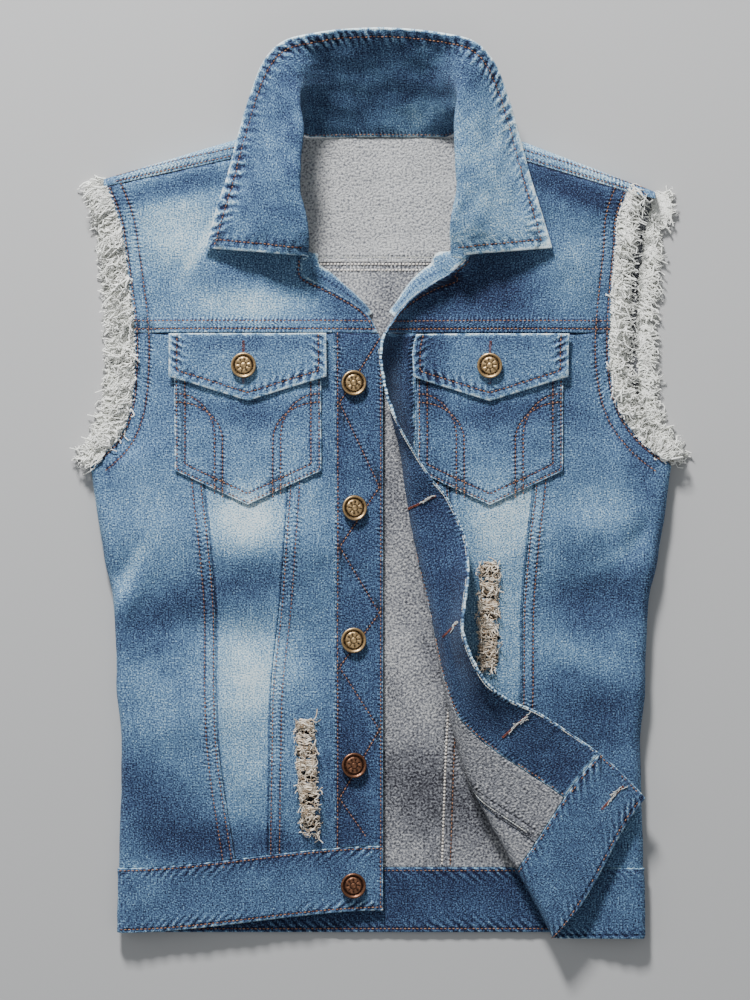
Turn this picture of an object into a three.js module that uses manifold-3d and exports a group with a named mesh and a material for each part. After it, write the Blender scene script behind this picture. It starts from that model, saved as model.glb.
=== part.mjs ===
// A man's sleeveless denim vest, lying on its back on a flat surface.
// Millimetres. +Z is up from the surface, +Y runs from the hem to the collar, and +X is to the right of
// someone who looks down at the front. The origin is on the surface, under the middle of the vest.
// The button side is at -X. The buttonhole side is at +X, and its lower front is rolled back over itself.
import * as THREE from "three";
import { mergeVertices } from "three/addons/utils/BufferGeometryUtils.js";
import Module from "manifold-3d";

const wasm = await Module();
wasm.setup();

// Cloth
const CLOTH = 1.3;
const DOUBLE_CLOTH = 2.4;
const PATCH_CLOTH = 1.5;
const SEAM_GAP = 0.3;
const ROLLED_GAP = 0.6;
const LAYER_GAP = 0.5;
const FELL_RISE = 0.7;
const FELL_WIDTH = 11;

// Heights along the vest, measured from its middle
const HEM_Y = -364;
const BAND_TOP_Y = -311;
const PIT_Y = 20;
const FRONT_YOKE_Y = 127;
const BACK_YOKE_Y = 185;
const NECK_POINT = { x: 84, y: 278 };
const NECK_MIDDLE_X = -2;

// Fronts: distances from the front edge
const BUTTON_EDGE_X = 1.6;
const HOLE_EDGE_X = -21.3;
const PLACKET_WIDTH = { left: 39.4, right: 48 };
const HEM_RISE = 18;
const HEM_DROP = { left: 0, right: 5 };
const NECK_SPREAD = { reach: 210, shift: 33, from: 110, over: 75 };

// Sides and shoulders, where the back turns up to meet the fronts
const TURN_RADIUS = 6.2;
const SIDE_SEAM_Z = TURN_RADIUS;
const SHOULDER_INNER_Z = 2 * TURN_RADIUS - CLOTH;
const SHOULDER_FOLD = { x: 85, y: 295.5, left: -0.3, right: -0.38 };
const SHOULDER_SEAM = { left: -0.22, right: -0.3 };
const SHOULDER_CLIMB = 60;

// Half width of the vest from the armpit down
const OUTLINE = [
  { y: 20, width: 238 },
  { y: -10, width: 234 },
  { y: -55, width: 227 },
  { y: -85, width: 220.5 },
  { y: -115, width: 217.5 },
  { y: -170, width: 216 },
  { y: -205, width: 212.5 },
  { y: -300, width: 214.5 },
  { y: -366, width: 215.5 },
];

// Raw edges of the armholes: the fronts from their front edge, the back from the middle
const ARMHOLE = [
  { y: 252, left: 229, right: 230, back: 227 },
  { y: 222, left: 217, right: 217, back: 220 },
  { y: 195, left: 212, right: 214.5, back: 215 },
  { y: 165, left: 208, right: 211, back: 212 },
  { y: 130, left: 204, right: 209, back: 210 },
  { y: 95, left: 204, right: 210, back: 211 },
  { y: 62, left: 208, right: 218, back: 215 },
  { y: 38, left: 219, right: 235, back: 224 },
  { y: 20, left: 238.6, right: 258, back: 238 },
];

// Front edge and neckline of a front, from its straight front edge
const NECKLINE = [
  { y: -400, edge: 0 },
  { y: 90, edge: 0 },
  { y: 118, edge: 0.6 },
  { y: 131, edge: 6 },
  { y: 140, edge: 11 },
  { y: 148, edge: 19 },
  { y: 157, edge: 34 },
  { y: 166, edge: 51 },
  { y: 172, edge: 64 },
  { y: 178, edge: 67 },
  { y: 186, edge: 66.5 },
  { y: 210, edge: 78 },
  { y: 240, edge: 85 },
  { y: 280, edge: 84.5 },
];

// Two shaped seams of each front, from the front edge
const FRONT_SEAMS = [
  { y: 127, inner: 70.5, outer: 154 },
  { y: 1, inner: 77, outer: 147 },
  { y: -42, inner: 80, outer: 142 },
  { y: -97, inner: 84, outer: 137.5 },
  { y: -165, inner: 91, outer: 137 },
  { y: -219, inner: 92.2, outer: 134.5 },
  { y: -312, inner: 93.6, outer: 121 },
];

// Two shaped seams of the back, from the middle
const BACK_SEAMS = [
  { y: 186, seam: 96 },
  { y: 0, seam: 72 },
  { y: -174, seam: 54 },
  { y: -312, seam: 48 },
];

// Height of the fronts' inner face: at the front edge, over each front, and at the side or armhole
const SWELL = [
  { y: 280, edge: 11.1, left: 11.1, right: 11.1, side: 9 },
  { y: 240, edge: 11.5, left: 10.6, right: 10.6, side: 8 },
  { y: 200, edge: 11, left: 9.5, right: 9.5, side: 6.6 },
  { y: 172, edge: 9, left: 9, right: 9, side: 5.4 },
  { y: 140, edge: 5.4, left: 9.5, right: 9, side: 5 },
  { y: 110, edge: 3.8, left: 11, right: 9.5, side: 5 },
  { y: 60, edge: 3.8, left: 12.5, right: 10, side: 5.4 },
  { y: 20, edge: 3.8, left: 15, right: 11.5, side: 9 },
  { y: -45, edge: 3.8, left: 18, right: 13, side: 15 },
  { y: -85, edge: 3.8, left: 14, right: 11, side: 13.5 },
  { y: -122, edge: 3.8, left: 10, right: 10, side: 12 },
  { y: -180, edge: 4, left: 13, right: 11, side: 13 },
  { y: -230, edge: 4.4, left: 13.5, right: 10.5, side: 13 },
  { y: -285, edge: 5, left: 10, right: 9, side: 11 },
  { y: -311, edge: 5.2, left: 9, right: 8.5, side: 10.2 },
  { y: -366, edge: 5.4, left: 8, right: 8, side: 10 },
];

// Largest folds of the fronts: place, half lengths, lie in degrees from the across direction, and height
const FOLDS = [
  { side: "left", a: 209, y: -92, long: 28, short: 9, lie: -63, rise: 4 },
  { side: "left", a: 214, y: -70, long: 20, short: 10, lie: -63, rise: -3.5 },
  { side: "left", a: 110, y: -46, long: 80, short: 20, lie: 4, rise: 3 },
  { side: "left", a: 130, y: -116, long: 75, short: 17, lie: 8, rise: -2.6 },
  { side: "left", a: 158, y: -188, long: 55, short: 24, lie: -12, rise: 3 },
  { side: "left", a: 70, y: -255, long: 34, short: 26, lie: 20, rise: 2.4 },
  { side: "left", a: 150, y: 186, long: 42, short: 14, lie: 28, rise: 2.2 },
  { side: "right", a: 224, y: -74, long: 30, short: 9, lie: -72, rise: 3.6 },
  { side: "right", a: 233, y: -40, long: 26, short: 8, lie: 58, rise: -3.4 },
  { side: "right", a: 192, y: -38, long: 38, short: 20, lie: 10, rise: 2.8 },
  { side: "right", a: 196, y: -92, long: 36, short: 18, lie: -6, rise: -2.6 },
  { side: "right", a: 203, y: -146, long: 34, short: 24, lie: -20, rise: 3 },
  { side: "right", a: 206, y: -210, long: 34, short: 20, lie: -30, rise: -2.4 },
  { side: "right", a: 160, y: 190, long: 40, short: 14, lie: -24, rise: 2.2 },
];

// How the buttonhole front turns up at its front edge and rolls back.
// roll is the innermost line of the roll, turn its angle, and flap what lies beyond it.
const ROLL = [
  { y: 276, rollX: 82, rollY: 276, radius: 12, turn: 4, heading: 26, flap: 0, rise: 0 },
  { y: 240, rollX: 79, rollY: 240, radius: 14, turn: 30, heading: 26, flap: 0, rise: 0 },
  { y: 210, rollX: 75, rollY: 210, radius: 16, turn: 50, heading: 26, flap: 0, rise: 0 },
  { y: 185, rollX: 68, rollY: 185, radius: 18, turn: 64, heading: 26, flap: 0, rise: 0 },
  { y: 154, rollX: 23.8, rollY: 154, radius: 23, turn: 52, heading: 27, flap: 0, rise: 0 },
  { y: 120, rollX: 0, rollY: 120, radius: 27, turn: 90, heading: 28, flap: 0, rise: 0 },
  { y: 81, rollX: 2.7, rollY: 81, radius: 27, turn: 95, heading: 30, flap: 0, rise: 0 },
  { y: 44, rollX: 12, rollY: 44, radius: 20, turn: 130, heading: 30, flap: 1.4, rise: 0 },
  { y: 24, rollX: 16.4, rollY: 23.8, radius: 15, turn: 158, heading: 27, flap: 3, rise: 0 },
  { y: -2.5, rollX: 19.7, rollY: -3.3, radius: 12, turn: 176, heading: 26, flap: 13.4, rise: 0 },
  { y: -22, rollX: 23, rollY: -23, radius: 10, turn: 180, heading: 26, flap: 25, rise: 0 },
  { y: -60.7, rollX: 31, rollY: -61.5, radius: 10, turn: 180, heading: 27, flap: 33, rise: 2 },
  { y: -88, rollX: 37, rollY: -89.4, radius: 11, turn: 180, heading: 31, flap: 28.6, rise: 11 },
  { y: -115, rollX: 42.6, rollY: -117.3, radius: 12, turn: 180, heading: 40, flap: 20, rise: 15 },
  { y: -137, rollX: 46.7, rollY: -140.2, radius: 13, turn: 180, heading: 48, flap: 16, rise: 16 },
  { y: -180, rollX: 55, rollY: -183.7, radius: 12.5, turn: 180, heading: 44, flap: 27, rise: 15 },
  { y: -203, rollX: 61.5, rollY: -208.3, radius: 11, turn: 180, heading: 42, flap: 44, rise: 9 },
  { y: -233, rollX: 70.5, rollY: -237, radius: 10, turn: 180, heading: 42, flap: 69.5, rise: 2 },
  { y: -266, rollX: 87, rollY: -269.8, radius: 8.5, turn: 180, heading: 44.5, flap: 89.3, rise: 0 },
  { y: -296, rollX: 103.3, rollY: -299.3, radius: 8, turn: 180, heading: 46, flap: 104, rise: 0 },
  { y: -340, rollX: 127, rollY: -342, radius: 8, turn: 180, heading: 47.5, flap: 118.2, rise: 0 },
  { y: -366, rollX: 140, rollY: -368, radius: 8, turn: 180, heading: 48.5, flap: 123, rise: 0 },
];

// Half of the collar: where it leaves the neckline, the top of its roll, and its outer edge.
// Front rows leave a front's neckline at y, and back rows leave the back's neckline at x.
const COLLAR = [
  { at: 0, y: 187, rollX: 66, rollY: 190, rollZ: 27, outX: 142, outY: 196, outZ: 16 },
  { at: 1, y: 210, rollX: 63.5, rollY: 214, rollZ: 37, outX: 133.5, outY: 225, outZ: 17.5 },
  { at: 2, y: 238, rollX: 68, rollY: 242, rollZ: 42, outX: 123, outY: 258, outZ: 18.5 },
  { at: 3, y: 264, rollX: 67, rollY: 268, rollZ: 44, outX: 113.5, outY: 293, outZ: 22 },
  { at: 4, x: 80, rollX: 64, rollY: 296, rollZ: 45, outX: 103.5, outY: 325, outZ: 30 },
  { at: 5, x: 70, rollX: 66, rollY: 322, rollZ: 44, outX: 92, outY: 350, outZ: 39 },
  { at: 6, x: 56, rollX: 60, rollY: 334, rollZ: 38, outX: 76, outY: 364, outZ: 45 },
  { at: 7, x: 38, rollX: 43, rollY: 336, rollZ: 28, outX: 50, outY: 370, outZ: 47 },
  { at: 8, x: 19, rollX: 21, rollY: 336, rollZ: 25, outX: 24, outY: 373, outZ: 47 },
  { at: 9, x: 0, rollX: 0, rollY: 336, rollZ: 24, outX: 0, outY: 374, outZ: 47 },
];

// Facings inside the open neck
const FACING = { low: 140, high: 187, reach: 13, drop: 6 };

// The collar's foot stands this far off the cloth that it is sewn to.
const FOOT = { beside: 2, behind: 0.8, besideShoulder: 3, height: 1.3 };
const SHOULDER_TURN_X = 60;

// Unrolled height at which the back's neckline ends, from the middle out to the shoulder
const BACK_NECK = [
  { x: 0, end: 287 },
  { x: 54, end: 287 },
  { x: 64, end: 289 },
  { x: 74, end: 298 },
  { x: 84, end: 322 },
];

// Chest pockets and their flaps, from the front edge
const POCKET = { middle: 110.6, width: 119, top: 92, corner: 14, point: -14 };
const FLAP_BUTTON = { left: 114, right: 110.6, y: 100 };
const FLAP = { width: 127, top: 126.2, corner: 91, point: 71 };

// Buttons down the front and their size
const BUTTON_ROWS = [86, -16.4, -124.6, -227, -325.5];
const BUTTON = { radius: 10.4, shank: 3.4, stand: 1.8, rim: 2.4, well: 1.5, crown: 2.3, middle: 24.6 };

// Torn places: middle line from the upper end to the lower end, and the windows left between threads
const TEARS = [
  { side: "left", top: [64, -189], bottom: [59, -283], width: 14, windows: 5, share: 0.5 },
  { side: "right", top: [110.5, -60], bottom: [109, -147], width: 15, windows: 5, share: 0.5 },
];

// Frayed armhole edges
const FRAY = { locks: 21, strip: 2.2, stripHeight: 1, shortest: 9, longest: 15, root: 1.5, tip: 0.5 };

const clamp = (value, low, high) => Math.min(high, Math.max(low, value));
const mix = (from, to, share) => from + (to - from) * share;
const radians = (degrees) => (degrees * Math.PI) / 180;

function smooth(share) {
  const t = clamp(share, 0, 1);
  return t * t * (3 - 2 * t);
}

// Reads any column of a table as a smooth curve of its key column.
function reader(rows, key) {
  const sorted = [...rows].sort((p, q) => p[key] - q[key]);
  const last = sorted.length - 1;
  return (value, column) => {
    const at = clamp(value, sorted[0][key], sorted[last][key]);
    let i = 0;
    while (i < last - 1 && sorted[i + 1][key] < at) i += 1;
    const low = sorted[i];
    const high = sorted[i + 1];
    const before = sorted[Math.max(i - 1, 0)];
    const after = sorted[Math.min(i + 2, last)];
    const span = high[key] - low[key];
    const t = (at - low[key]) / span;
    const leave = ((high[column] - before[column]) / (high[key] - before[key])) * span;
    const arrive = ((after[column] - low[column]) / (after[key] - low[key])) * span;
    return (
      (2 * t ** 3 - 3 * t ** 2 + 1) * low[column] +
      (t ** 3 - 2 * t ** 2 + t) * leave +
      (3 * t ** 2 - 2 * t ** 3) * high[column] +
      (t ** 3 - t ** 2) * arrive
    );
  };
}

const outline = reader(OUTLINE, "y");
const armhole = reader(ARMHOLE, "y");
const neckline = reader(NECKLINE, "y");
const frontSeams = reader(FRONT_SEAMS, "y");
const backSeams = reader(BACK_SEAMS, "y");
const swell = reader(SWELL, "y");
const roll = reader(ROLL, "y");
const collarRow = reader(COLLAR, "at");
const backNeck = reader(BACK_NECK, "x");

// The fronts' edge and the line where they end at the armhole or the side
const frontEdge = (y) => Math.max(0, neckline(y, "edge"));
const edgeX = { left: BUTTON_EDGE_X, right: -HOLE_EDGE_X };

function frontRim(side, y) {
  return y > PIT_Y ? armhole(y, side) : outline(y, "width") + edgeX[side] - CLOTH;
}

// Height of a front's inner face, in its own flat measures
function foldRise(side, a, y) {
  let rise = 0;
  for (const fold of FOLDS) {
    if (fold.side !== side) continue;
    const lie = radians(fold.lie);
    const da = a - fold.a;
    const dy = y - fold.y;
    const p = (da * Math.cos(lie) + dy * Math.sin(lie)) / fold.long;
    const q = (dy * Math.cos(lie) - da * Math.sin(lie)) / fold.short;
    rise += fold.rise * Math.exp(-p * p - q * q);
  }
  return rise;
}

function frontHeight(side, a, y, edgeAt) {
  const spread = 70;
  const rimBand = 45;
  const over = mix(swell(y, "edge"), swell(y, side), smooth((a - edgeAt) / spread));
  const rim = frontRim(side, y);
  const height = mix(over, swell(y, "side"), smooth((a - rim + rimBand) / rimBand)) + foldRise(side, a, y);
  const seam = shoulderSeam(side === "left" ? BUTTON_EDGE_X - a : holeFrontX(a, y));
  return mix(height, SHOULDER_INNER_Z, smooth(1 - (seam - y) / SHOULDER_CLIMB));
}

// The last stretch before the side seam turns down to the seam.
function sideTurn(side, a, y, edgeAt) {
  const rim = frontRim(side, y);
  if (y > PIT_Y) return { a, z: frontHeight(side, a, y, edgeAt) };
  const radius = clamp(swell(y, "side") - SIDE_SEAM_Z, 2.5, 9);
  const start = rim - radius;
  const turn = clamp((a - start) / radius, 0, Math.PI / 2);
  const height = frontHeight(side, Math.min(a, start), y, edgeAt);
  const flat = Math.min(a, start) + radius * Math.sin(turn);
  return { a: flat, z: mix(SIDE_SEAM_Z, height, Math.cos(turn)) };
}

// Flat distance of the side seam or the armhole edge, with the turn unrolled
function frontEnd(side, y) {
  if (y > PIT_Y) return frontRim(side, y);
  const radius = clamp(swell(y, "side") - SIDE_SEAM_Z, 2.5, 9);
  return frontRim(side, y) + radius * (Math.PI / 2 - 1);
}

function layButtonFront(a, y) {
  const turned = sideTurn("left", a, y, frontEdge(y));
  return new THREE.Vector3(BUTTON_EDGE_X - turned.a, y, turned.z);
}

// Across position of the buttonhole front where it lies flat, and the reverse
function spreadAt(y) {
  return NECK_SPREAD.shift * smooth((y - NECK_SPREAD.from) / NECK_SPREAD.over);
}

function holeFrontX(a, y) {
  return HOLE_EDGE_X + a + spreadAt(y) * (1 - a / NECK_SPREAD.reach);
}

function holeFrontA(x, y) {
  return (x - HOLE_EDGE_X - spreadAt(y)) / (1 - spreadAt(y) / NECK_SPREAD.reach);
}

// One section of the roll: where it leaves the flat part, its arc and its flap
function rollSection(y) {
  const row = {};
  for (const column of ["rollX", "rollY", "radius", "turn", "heading", "flap", "rise"]) {
    row[column] = roll(y, column);
  }
  row.turn = radians(row.turn);
  row.flap = Math.max(0, row.flap);
  row.contactX = row.rollX + row.radius * Math.sin(Math.min(row.turn, Math.PI / 2));
  row.contactA = holeFrontA(row.contactX, y);
  row.way = new THREE.Vector2(Math.cos(radians(row.heading)), Math.sin(radians(row.heading)));
  row.arc = row.radius * row.turn;
  row.path = row.arc + Math.hypot(row.flap, row.rise);
  row.floor = swell(y, "edge");
  return row;
}

function arcPoint(row, y, angle) {
  const quarter = Math.PI / 2;
  const z = row.floor + row.radius * (1 - Math.cos(angle));
  if (angle <= quarter) {
    const bend = smooth(angle / quarter);
    return new THREE.Vector3(row.contactX - row.radius * Math.sin(angle), mix(y, row.rollY, bend), z);
  }
  const out = row.radius * (1 - Math.sin(angle));
  return new THREE.Vector3(row.rollX + out * row.way.x, row.rollY + out * row.way.y, z);
}

function layHoleFront(a, y) {
  const row = rollSection(y);
  const edge = frontEdge(y);
  if (a >= row.contactA) {
    const turned = sideTurn("right", a, y, row.contactA);
    return new THREE.Vector3(holeFrontX(turned.a, y), y, turned.z);
  }
  const along = ((row.contactA - a) / (row.contactA - edge)) * row.path;
  if (along <= row.arc || row.path < row.arc + 0.1) return arcPoint(row, y, along / row.radius);
  const end = arcPoint(row, y, row.turn);
  const t = (along - row.arc) / (row.path - row.arc);
  const rise = row.rise * t * t;
  const far = row.flap * t;
  return new THREE.Vector3(end.x + far * row.way.x, end.y + far * row.way.y, end.z + rise);
}

// The back lies on the surface and turns up at the sides and over the shoulders.
const sideOf = (x) => (x < 0 ? "left" : "right");

function shoulderFold(x) {
  return SHOULDER_FOLD.y + SHOULDER_FOLD[sideOf(x)] * Math.max(0, Math.abs(x) - SHOULDER_FOLD.x);
}

function shoulderSeam(x) {
  return NECK_POINT.y + SHOULDER_SEAM[sideOf(x)] * (Math.abs(x) - NECK_POINT.x);
}

function layBack(x, y) {
  const width = outline(y, "width");
  const bendX = Math.abs(x) - (width - TURN_RADIUS);
  if (y <= PIT_Y && bendX > 0) {
    const angle = bendX / TURN_RADIUS;
    const out = width - TURN_RADIUS + TURN_RADIUS * Math.sin(angle);
    return new THREE.Vector3(Math.sign(x) * out, y, TURN_RADIUS * (1 - Math.cos(angle)));
  }
  const start = shoulderFold(x) - TURN_RADIUS;
  if (y <= start) return new THREE.Vector3(x, y, 0);
  const angle = Math.min(Math.PI, (y - start) / TURN_RADIUS);
  const past = Math.max(0, y - start - Math.PI * TURN_RADIUS);
  const z = TURN_RADIUS * (1 - Math.cos(angle));
  return new THREE.Vector3(x, start + TURN_RADIUS * Math.sin(angle) - past, z);
}

const backSeamEnd = (y) => outline(y, "width") + TURN_RADIUS * (Math.PI / 2 - 1) - half;

// Unrolled height of the back yoke's upper edge: its neckline, then its shoulder seam
function backTop(x) {
  const out = Math.abs(x - NECK_MIDDLE_X);
  const start = shoulderFold(x) - TURN_RADIUS;
  const over = start + Math.PI * TURN_RADIUS + Math.max(0, start - shoulderSeam(x));
  return out <= NECK_POINT.x ? Math.min(over, backNeck(out, "end")) : over;
}

// A surface moved out along its own normal
const LAY = {
  left: { at: layButtonFront, out: -1 },
  right: { at: layHoleFront, out: 1 },
  back: { at: layBack, out: 1 },
};

function layered(surface, a, y, height) {
  const { at, out } = LAY[surface];
  const step = 0.4;
  const across = at(a + step, y).sub(at(a - step, y));
  const along = at(a, y + step).sub(at(a, y - step));
  const normal = across.cross(along).normalize().multiplyScalar(out);
  return at(a, y).addScaledVector(normal, height);
}

// A closed wall between two faces of one grid of points. crossed turns the diagonals of its squares.
function wallGeometry(across, along, pointAt, crossed = false) {
  const wide = across.length;
  const tall = along.length;
  const positions = [];
  for (const face of [0, 1]) {
    for (const v of along) {
      for (const u of across) positions.push(...pointAt(u, v, face).toArray());
    }
  }
  const id = (face, i, j) => face * wide * tall + j * wide + i;
  const index = [];
  const quad = (p, q, r, s) => index.push(...(crossed ? [q, r, s, q, s, p] : [p, q, r, p, r, s]));
  for (let j = 0; j < tall - 1; j += 1) {
    for (let i = 0; i < wide - 1; i += 1) {
      quad(id(1, i, j), id(1, i + 1, j), id(1, i + 1, j + 1), id(1, i, j + 1));
      quad(id(0, i, j), id(0, i, j + 1), id(0, i + 1, j + 1), id(0, i + 1, j));
    }
  }
  for (let i = 0; i < wide - 1; i += 1) {
    quad(id(0, i, 0), id(0, i + 1, 0), id(1, i + 1, 0), id(1, i, 0));
    quad(id(0, i, tall - 1), id(1, i, tall - 1), id(1, i + 1, tall - 1), id(0, i + 1, tall - 1));
  }
  for (let j = 0; j < tall - 1; j += 1) {
    quad(id(0, 0, j), id(1, 0, j), id(1, 0, j + 1), id(0, 0, j + 1));
    quad(id(0, wide - 1, j), id(0, wide - 1, j + 1), id(1, wide - 1, j + 1), id(1, wide - 1, j));
  }
  return facingOut(positions, index);
}

function facingOut(positions, index) {
  const at = (i) => new THREE.Vector3().fromArray(positions, 3 * i);
  let volume = 0;
  for (let i = 0; i < index.length; i += 3) {
    volume += at(index[i]).dot(at(index[i + 1]).cross(at(index[i + 2])));
  }
  const geometry = new THREE.BufferGeometry();
  geometry.setAttribute("position", new THREE.Float32BufferAttribute(positions, 3));
  geometry.setIndex(volume < 0 ? [...index].reverse() : index);
  return geometry;
}

const steps = (count) => Array.from({ length: count + 1 }, (_, i) => i / count);

// Booleans on closed geometry
function solidOf(geometry) {
  const bare = new THREE.BufferGeometry();
  bare.setAttribute("position", geometry.getAttribute("position"));
  bare.setIndex(geometry.getIndex());
  const merged = mergeVertices(bare, 1e-4);
  return new wasm.Manifold(
    new wasm.Mesh({
      numProp: 3,
      vertProperties: new Float32Array(merged.getAttribute("position").array),
      triVerts: new Uint32Array(merged.getIndex().array),
    }),
  );
}

function geometryOf(solid) {
  const mesh = solid.getMesh();
  const geometry = new THREE.BufferGeometry();
  geometry.setAttribute("position", new THREE.Float32BufferAttribute([...mesh.vertProperties], 3));
  geometry.setIndex([...mesh.triVerts]);
  return geometry;
}

// Finishes
const denim = new THREE.MeshStandardMaterial({ color: 0x5f7fa3, roughness: 0.9 });
const paleDenim = new THREE.MeshStandardMaterial({ color: 0x8fa9bd, roughness: 0.9 });
const wrongSide = new THREE.MeshStandardMaterial({ color: 0xb3b6bc, roughness: 0.95 });
const rawThread = new THREE.MeshStandardMaterial({ color: 0xe3e0d3, roughness: 1 });
const agedBrass = new THREE.MeshStandardMaterial({ color: 0xb0894f, roughness: 0.35, metalness: 0.9 });

const vest = new THREE.Group();

function add(name, geometry, material) {
  const mesh = new THREE.Mesh(geometry, material);
  mesh.name = name;
  vest.add(mesh);
  return mesh;
}

// Stations that crowd towards one end, where cloth turns
function crowded(count, turnStart, turnCount) {
  const flat = Array.from({ length: count }, (_, i) => (turnStart * i) / count);
  const turn = Array.from({ length: turnCount + 1 }, (_, i) => mix(turnStart, 1, i / turnCount));
  return [...flat, ...turn];
}

const half = SEAM_GAP / 2;

// Rows that the panels and the frayed edges share
const BODY_STOPS = [-311, -291, -272, -255, -239, -223, -207, -190, -171, -152, -134, -116, -98, -80, -60, -38, -15, 5];
const ARMHOLE_STOPS = [20, 25, 32, 41, 54, 72, 98, 127];
const BACK_STOPS = [145, 165, 185];
const YOKE_STOPS = [127, 137, 138.5, 148, 157, 166, 173, 181, 190, 210, 232, 254, 277.5];
const BACK_CLIMB = [0, 0.35, 0.66, 0.74, 0.8, 0.86, 0.93, 1];

// Lower edge of the fronts' panels: the band's upper seam, which rises towards the front edge
function bandTop(side, a) {
  return BAND_TOP_Y + HEM_RISE * (1 - smooth(a / edgeReach(side)));
}

function hemLine(side, a) {
  return HEM_Y - HEM_DROP[side] * smooth(a / 90) + HEM_RISE * (1 - smooth(a / edgeReach(side)));
}

const edgeReach = (side) => (side === "left" ? 215 : 150);

// A front panel between two lines, from the band to the yoke
function frontPanel(side, name, from, to, stations, material, options = {}) {
  const thick = options.thick ?? CLOTH;
  const raised = options.raised ?? (() => 0);
  const stops = [...BODY_STOPS, ...ARMHOLE_STOPS];
  const inset = side === "right" ? ROLLED_GAP / 2 : half;
  const geometry = wallGeometry(stations, stops, (u, stop, face) => {
    const a = mix(from(stop) + inset, to(stop) - inset, u);
    const fromTop = clamp((FRONT_YOKE_Y - stop) / (FRONT_YOKE_Y - BAND_TOP_Y), 0, 1);
    const y = stop + fromTop * (bandTop(side, a) - BAND_TOP_Y + SEAM_GAP) - half;
    return layered(side, a, y, face * (thick + raised(a, stop)));
  }, side === "right");
  const torn = TEARS.filter((tear) => options.torn && tear.side === side);
  return add(name, torn.length ? cutTears(geometry, side, torn) : geometry, material);
}

// Windows between the threads of a torn place
function cutTears(geometry, side, tears) {
  let solid = solidOf(geometry);
  const reach = 6;
  for (const tear of tears) {
    for (let k = 0; k < tear.windows; k += 1) {
      const low = (k + (1 - tear.share) / 2) / tear.windows;
      const high = (k + (1 + tear.share) / 2) / tear.windows;
      const window = wallGeometry([0, 1], [low, high], (u, v, face) => {
        const a = mix(tear.top[0], tear.bottom[0], v) + (u - 0.5) * tear.width;
        const y = mix(tear.top[1], tear.bottom[1], v);
        return layered(side, a, y, face ? CLOTH + reach : -reach);
      });
      solid = solid.subtract(solidOf(window));
    }
  }
  return geometryOf(solid);
}

const seamBand = (distance) => (distance < FELL_WIDTH ? FELL_RISE : 0);

// The pieces of a front across its width: their two edges and the columns between them
function frontPieces(side) {
  const rolled = side === "right";
  const inner = (y) => frontSeams(y, "inner");
  const outer = (y) => frontSeams(y, "outer");
  return {
    placket: { from: (y) => frontEdge(y) - half, to: () => PLACKET_WIDTH[side], columns: steps(rolled ? 6 : 3) },
    centre: { from: () => PLACKET_WIDTH[side], to: inner, columns: [0, ...(rolled ? [0.18, 0.36, 0.55] : [0.4]), 0.76, 0.78, 1] },
    middle: { from: inner, to: outer, columns: steps(rolled ? 8 : 3) },
    side: { from: outer, to: (y) => frontEnd(side, y), columns: [0, 0.1, 0.12, 0.36, 0.6, 0.82, 0.89, 0.95, 1] },
  };
}

function frontPanels(side) {
  const { placket, centre, middle, side: flank } = frontPieces(side);
  const panel = (name, piece, material, options) =>
    frontPanel(side, `${name}_${side}`, piece.from, piece.to, piece.columns, material, options);
  panel("placket", placket, denim, { thick: DOUBLE_CLOTH });
  panel("front_centre", centre, denim, { raised: (a, y) => seamBand(centre.to(y) - a), torn: side === "left" });
  panel("front_middle", middle, paleDenim, { torn: side === "right" });
  panel("front_side", flank, denim, { raised: (a, y) => seamBand(a - flank.from(y)) });
}

// Height at the armhole of a row that leaves the neckline at stop
function yokeFan(side, stop) {
  const x = side === "left" ? -armhole(250, side) : armhole(240, side) + HOLE_EDGE_X;
  const rise = shoulderSeam(x) - SEAM_GAP - FRONT_YOKE_Y;
  return FRONT_YOKE_Y + ((stop - FRONT_YOKE_Y) * rise) / (YOKE_STOPS.at(-1) - FRONT_YOKE_Y);
}

// The yoke covers the chest above the panels, up to the shoulder seam and the neckline.
function frontYoke(side) {
  const columns = side === "right" ? crowded(8, 0.9, 1) : steps(8);
  const stations = side === "right" ? [0, 0.05, 0.1, 0.16, 0.24, ...columns.slice(3)] : columns;
  const geometry = wallGeometry(stations, YOKE_STOPS, (u, v, face) => {
    const yOut = yokeFan(side, v);
    const a = mix(frontEdge(v) + 0.01, armhole(yOut, side), u);
    const y = mix(v, yOut, u) + half;
    const raise = v < FRONT_YOKE_Y + FELL_WIDTH ? FELL_RISE : 0;
    return layered(side, a, y, face * (CLOTH + raise));
  });
  add(`front_yoke_${side}`, geometry, denim);
}

// The hem band is folded double and closes the lower edge.
function frontBand(side) {
  const end = frontEnd(side, BAND_TOP_Y);
  const columns = Object.values(frontPieces(side)).flatMap(({ from, to, columns }) =>
    columns.slice(1).map((u) => mix(from(BAND_TOP_Y), to(BAND_TOP_Y), u) / end),
  );
  const geometry = wallGeometry([0, ...columns], steps(3), (u, v, face) => {
    const a = u * (frontEnd(side, mix(HEM_Y, BAND_TOP_Y, v)) - half);
    const y = mix(hemLine(side, a), bandTop(side, a) - half, v);
    return layered(side, a, y, face * DOUBLE_CLOTH);
  }, side === "right");
  add(`hem_band_${side}`, geometry, denim);
}

// Outline of a pocket or a flap: straight sides and a pointed lower edge
function pointedPatch(shape) {
  return (u, v) => {
    const a = POCKET.middle + (u - 0.5) * shape.width;
    const low = mix(shape.corner, shape.point, 1 - Math.abs(2 * u - 1));
    return [a, mix(low, shape.top, v)];
  };
}

function patch(name, side, shape, low, thick, counts, material) {
  const place = pointedPatch(shape);
  const geometry = wallGeometry(steps(counts[0]), steps(counts[1]), (u, v, face) => {
    const [a, y] = place(u, v);
    return layered(side, a, y, low + face * thick);
  });
  add(name, geometry, material);
}

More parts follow.
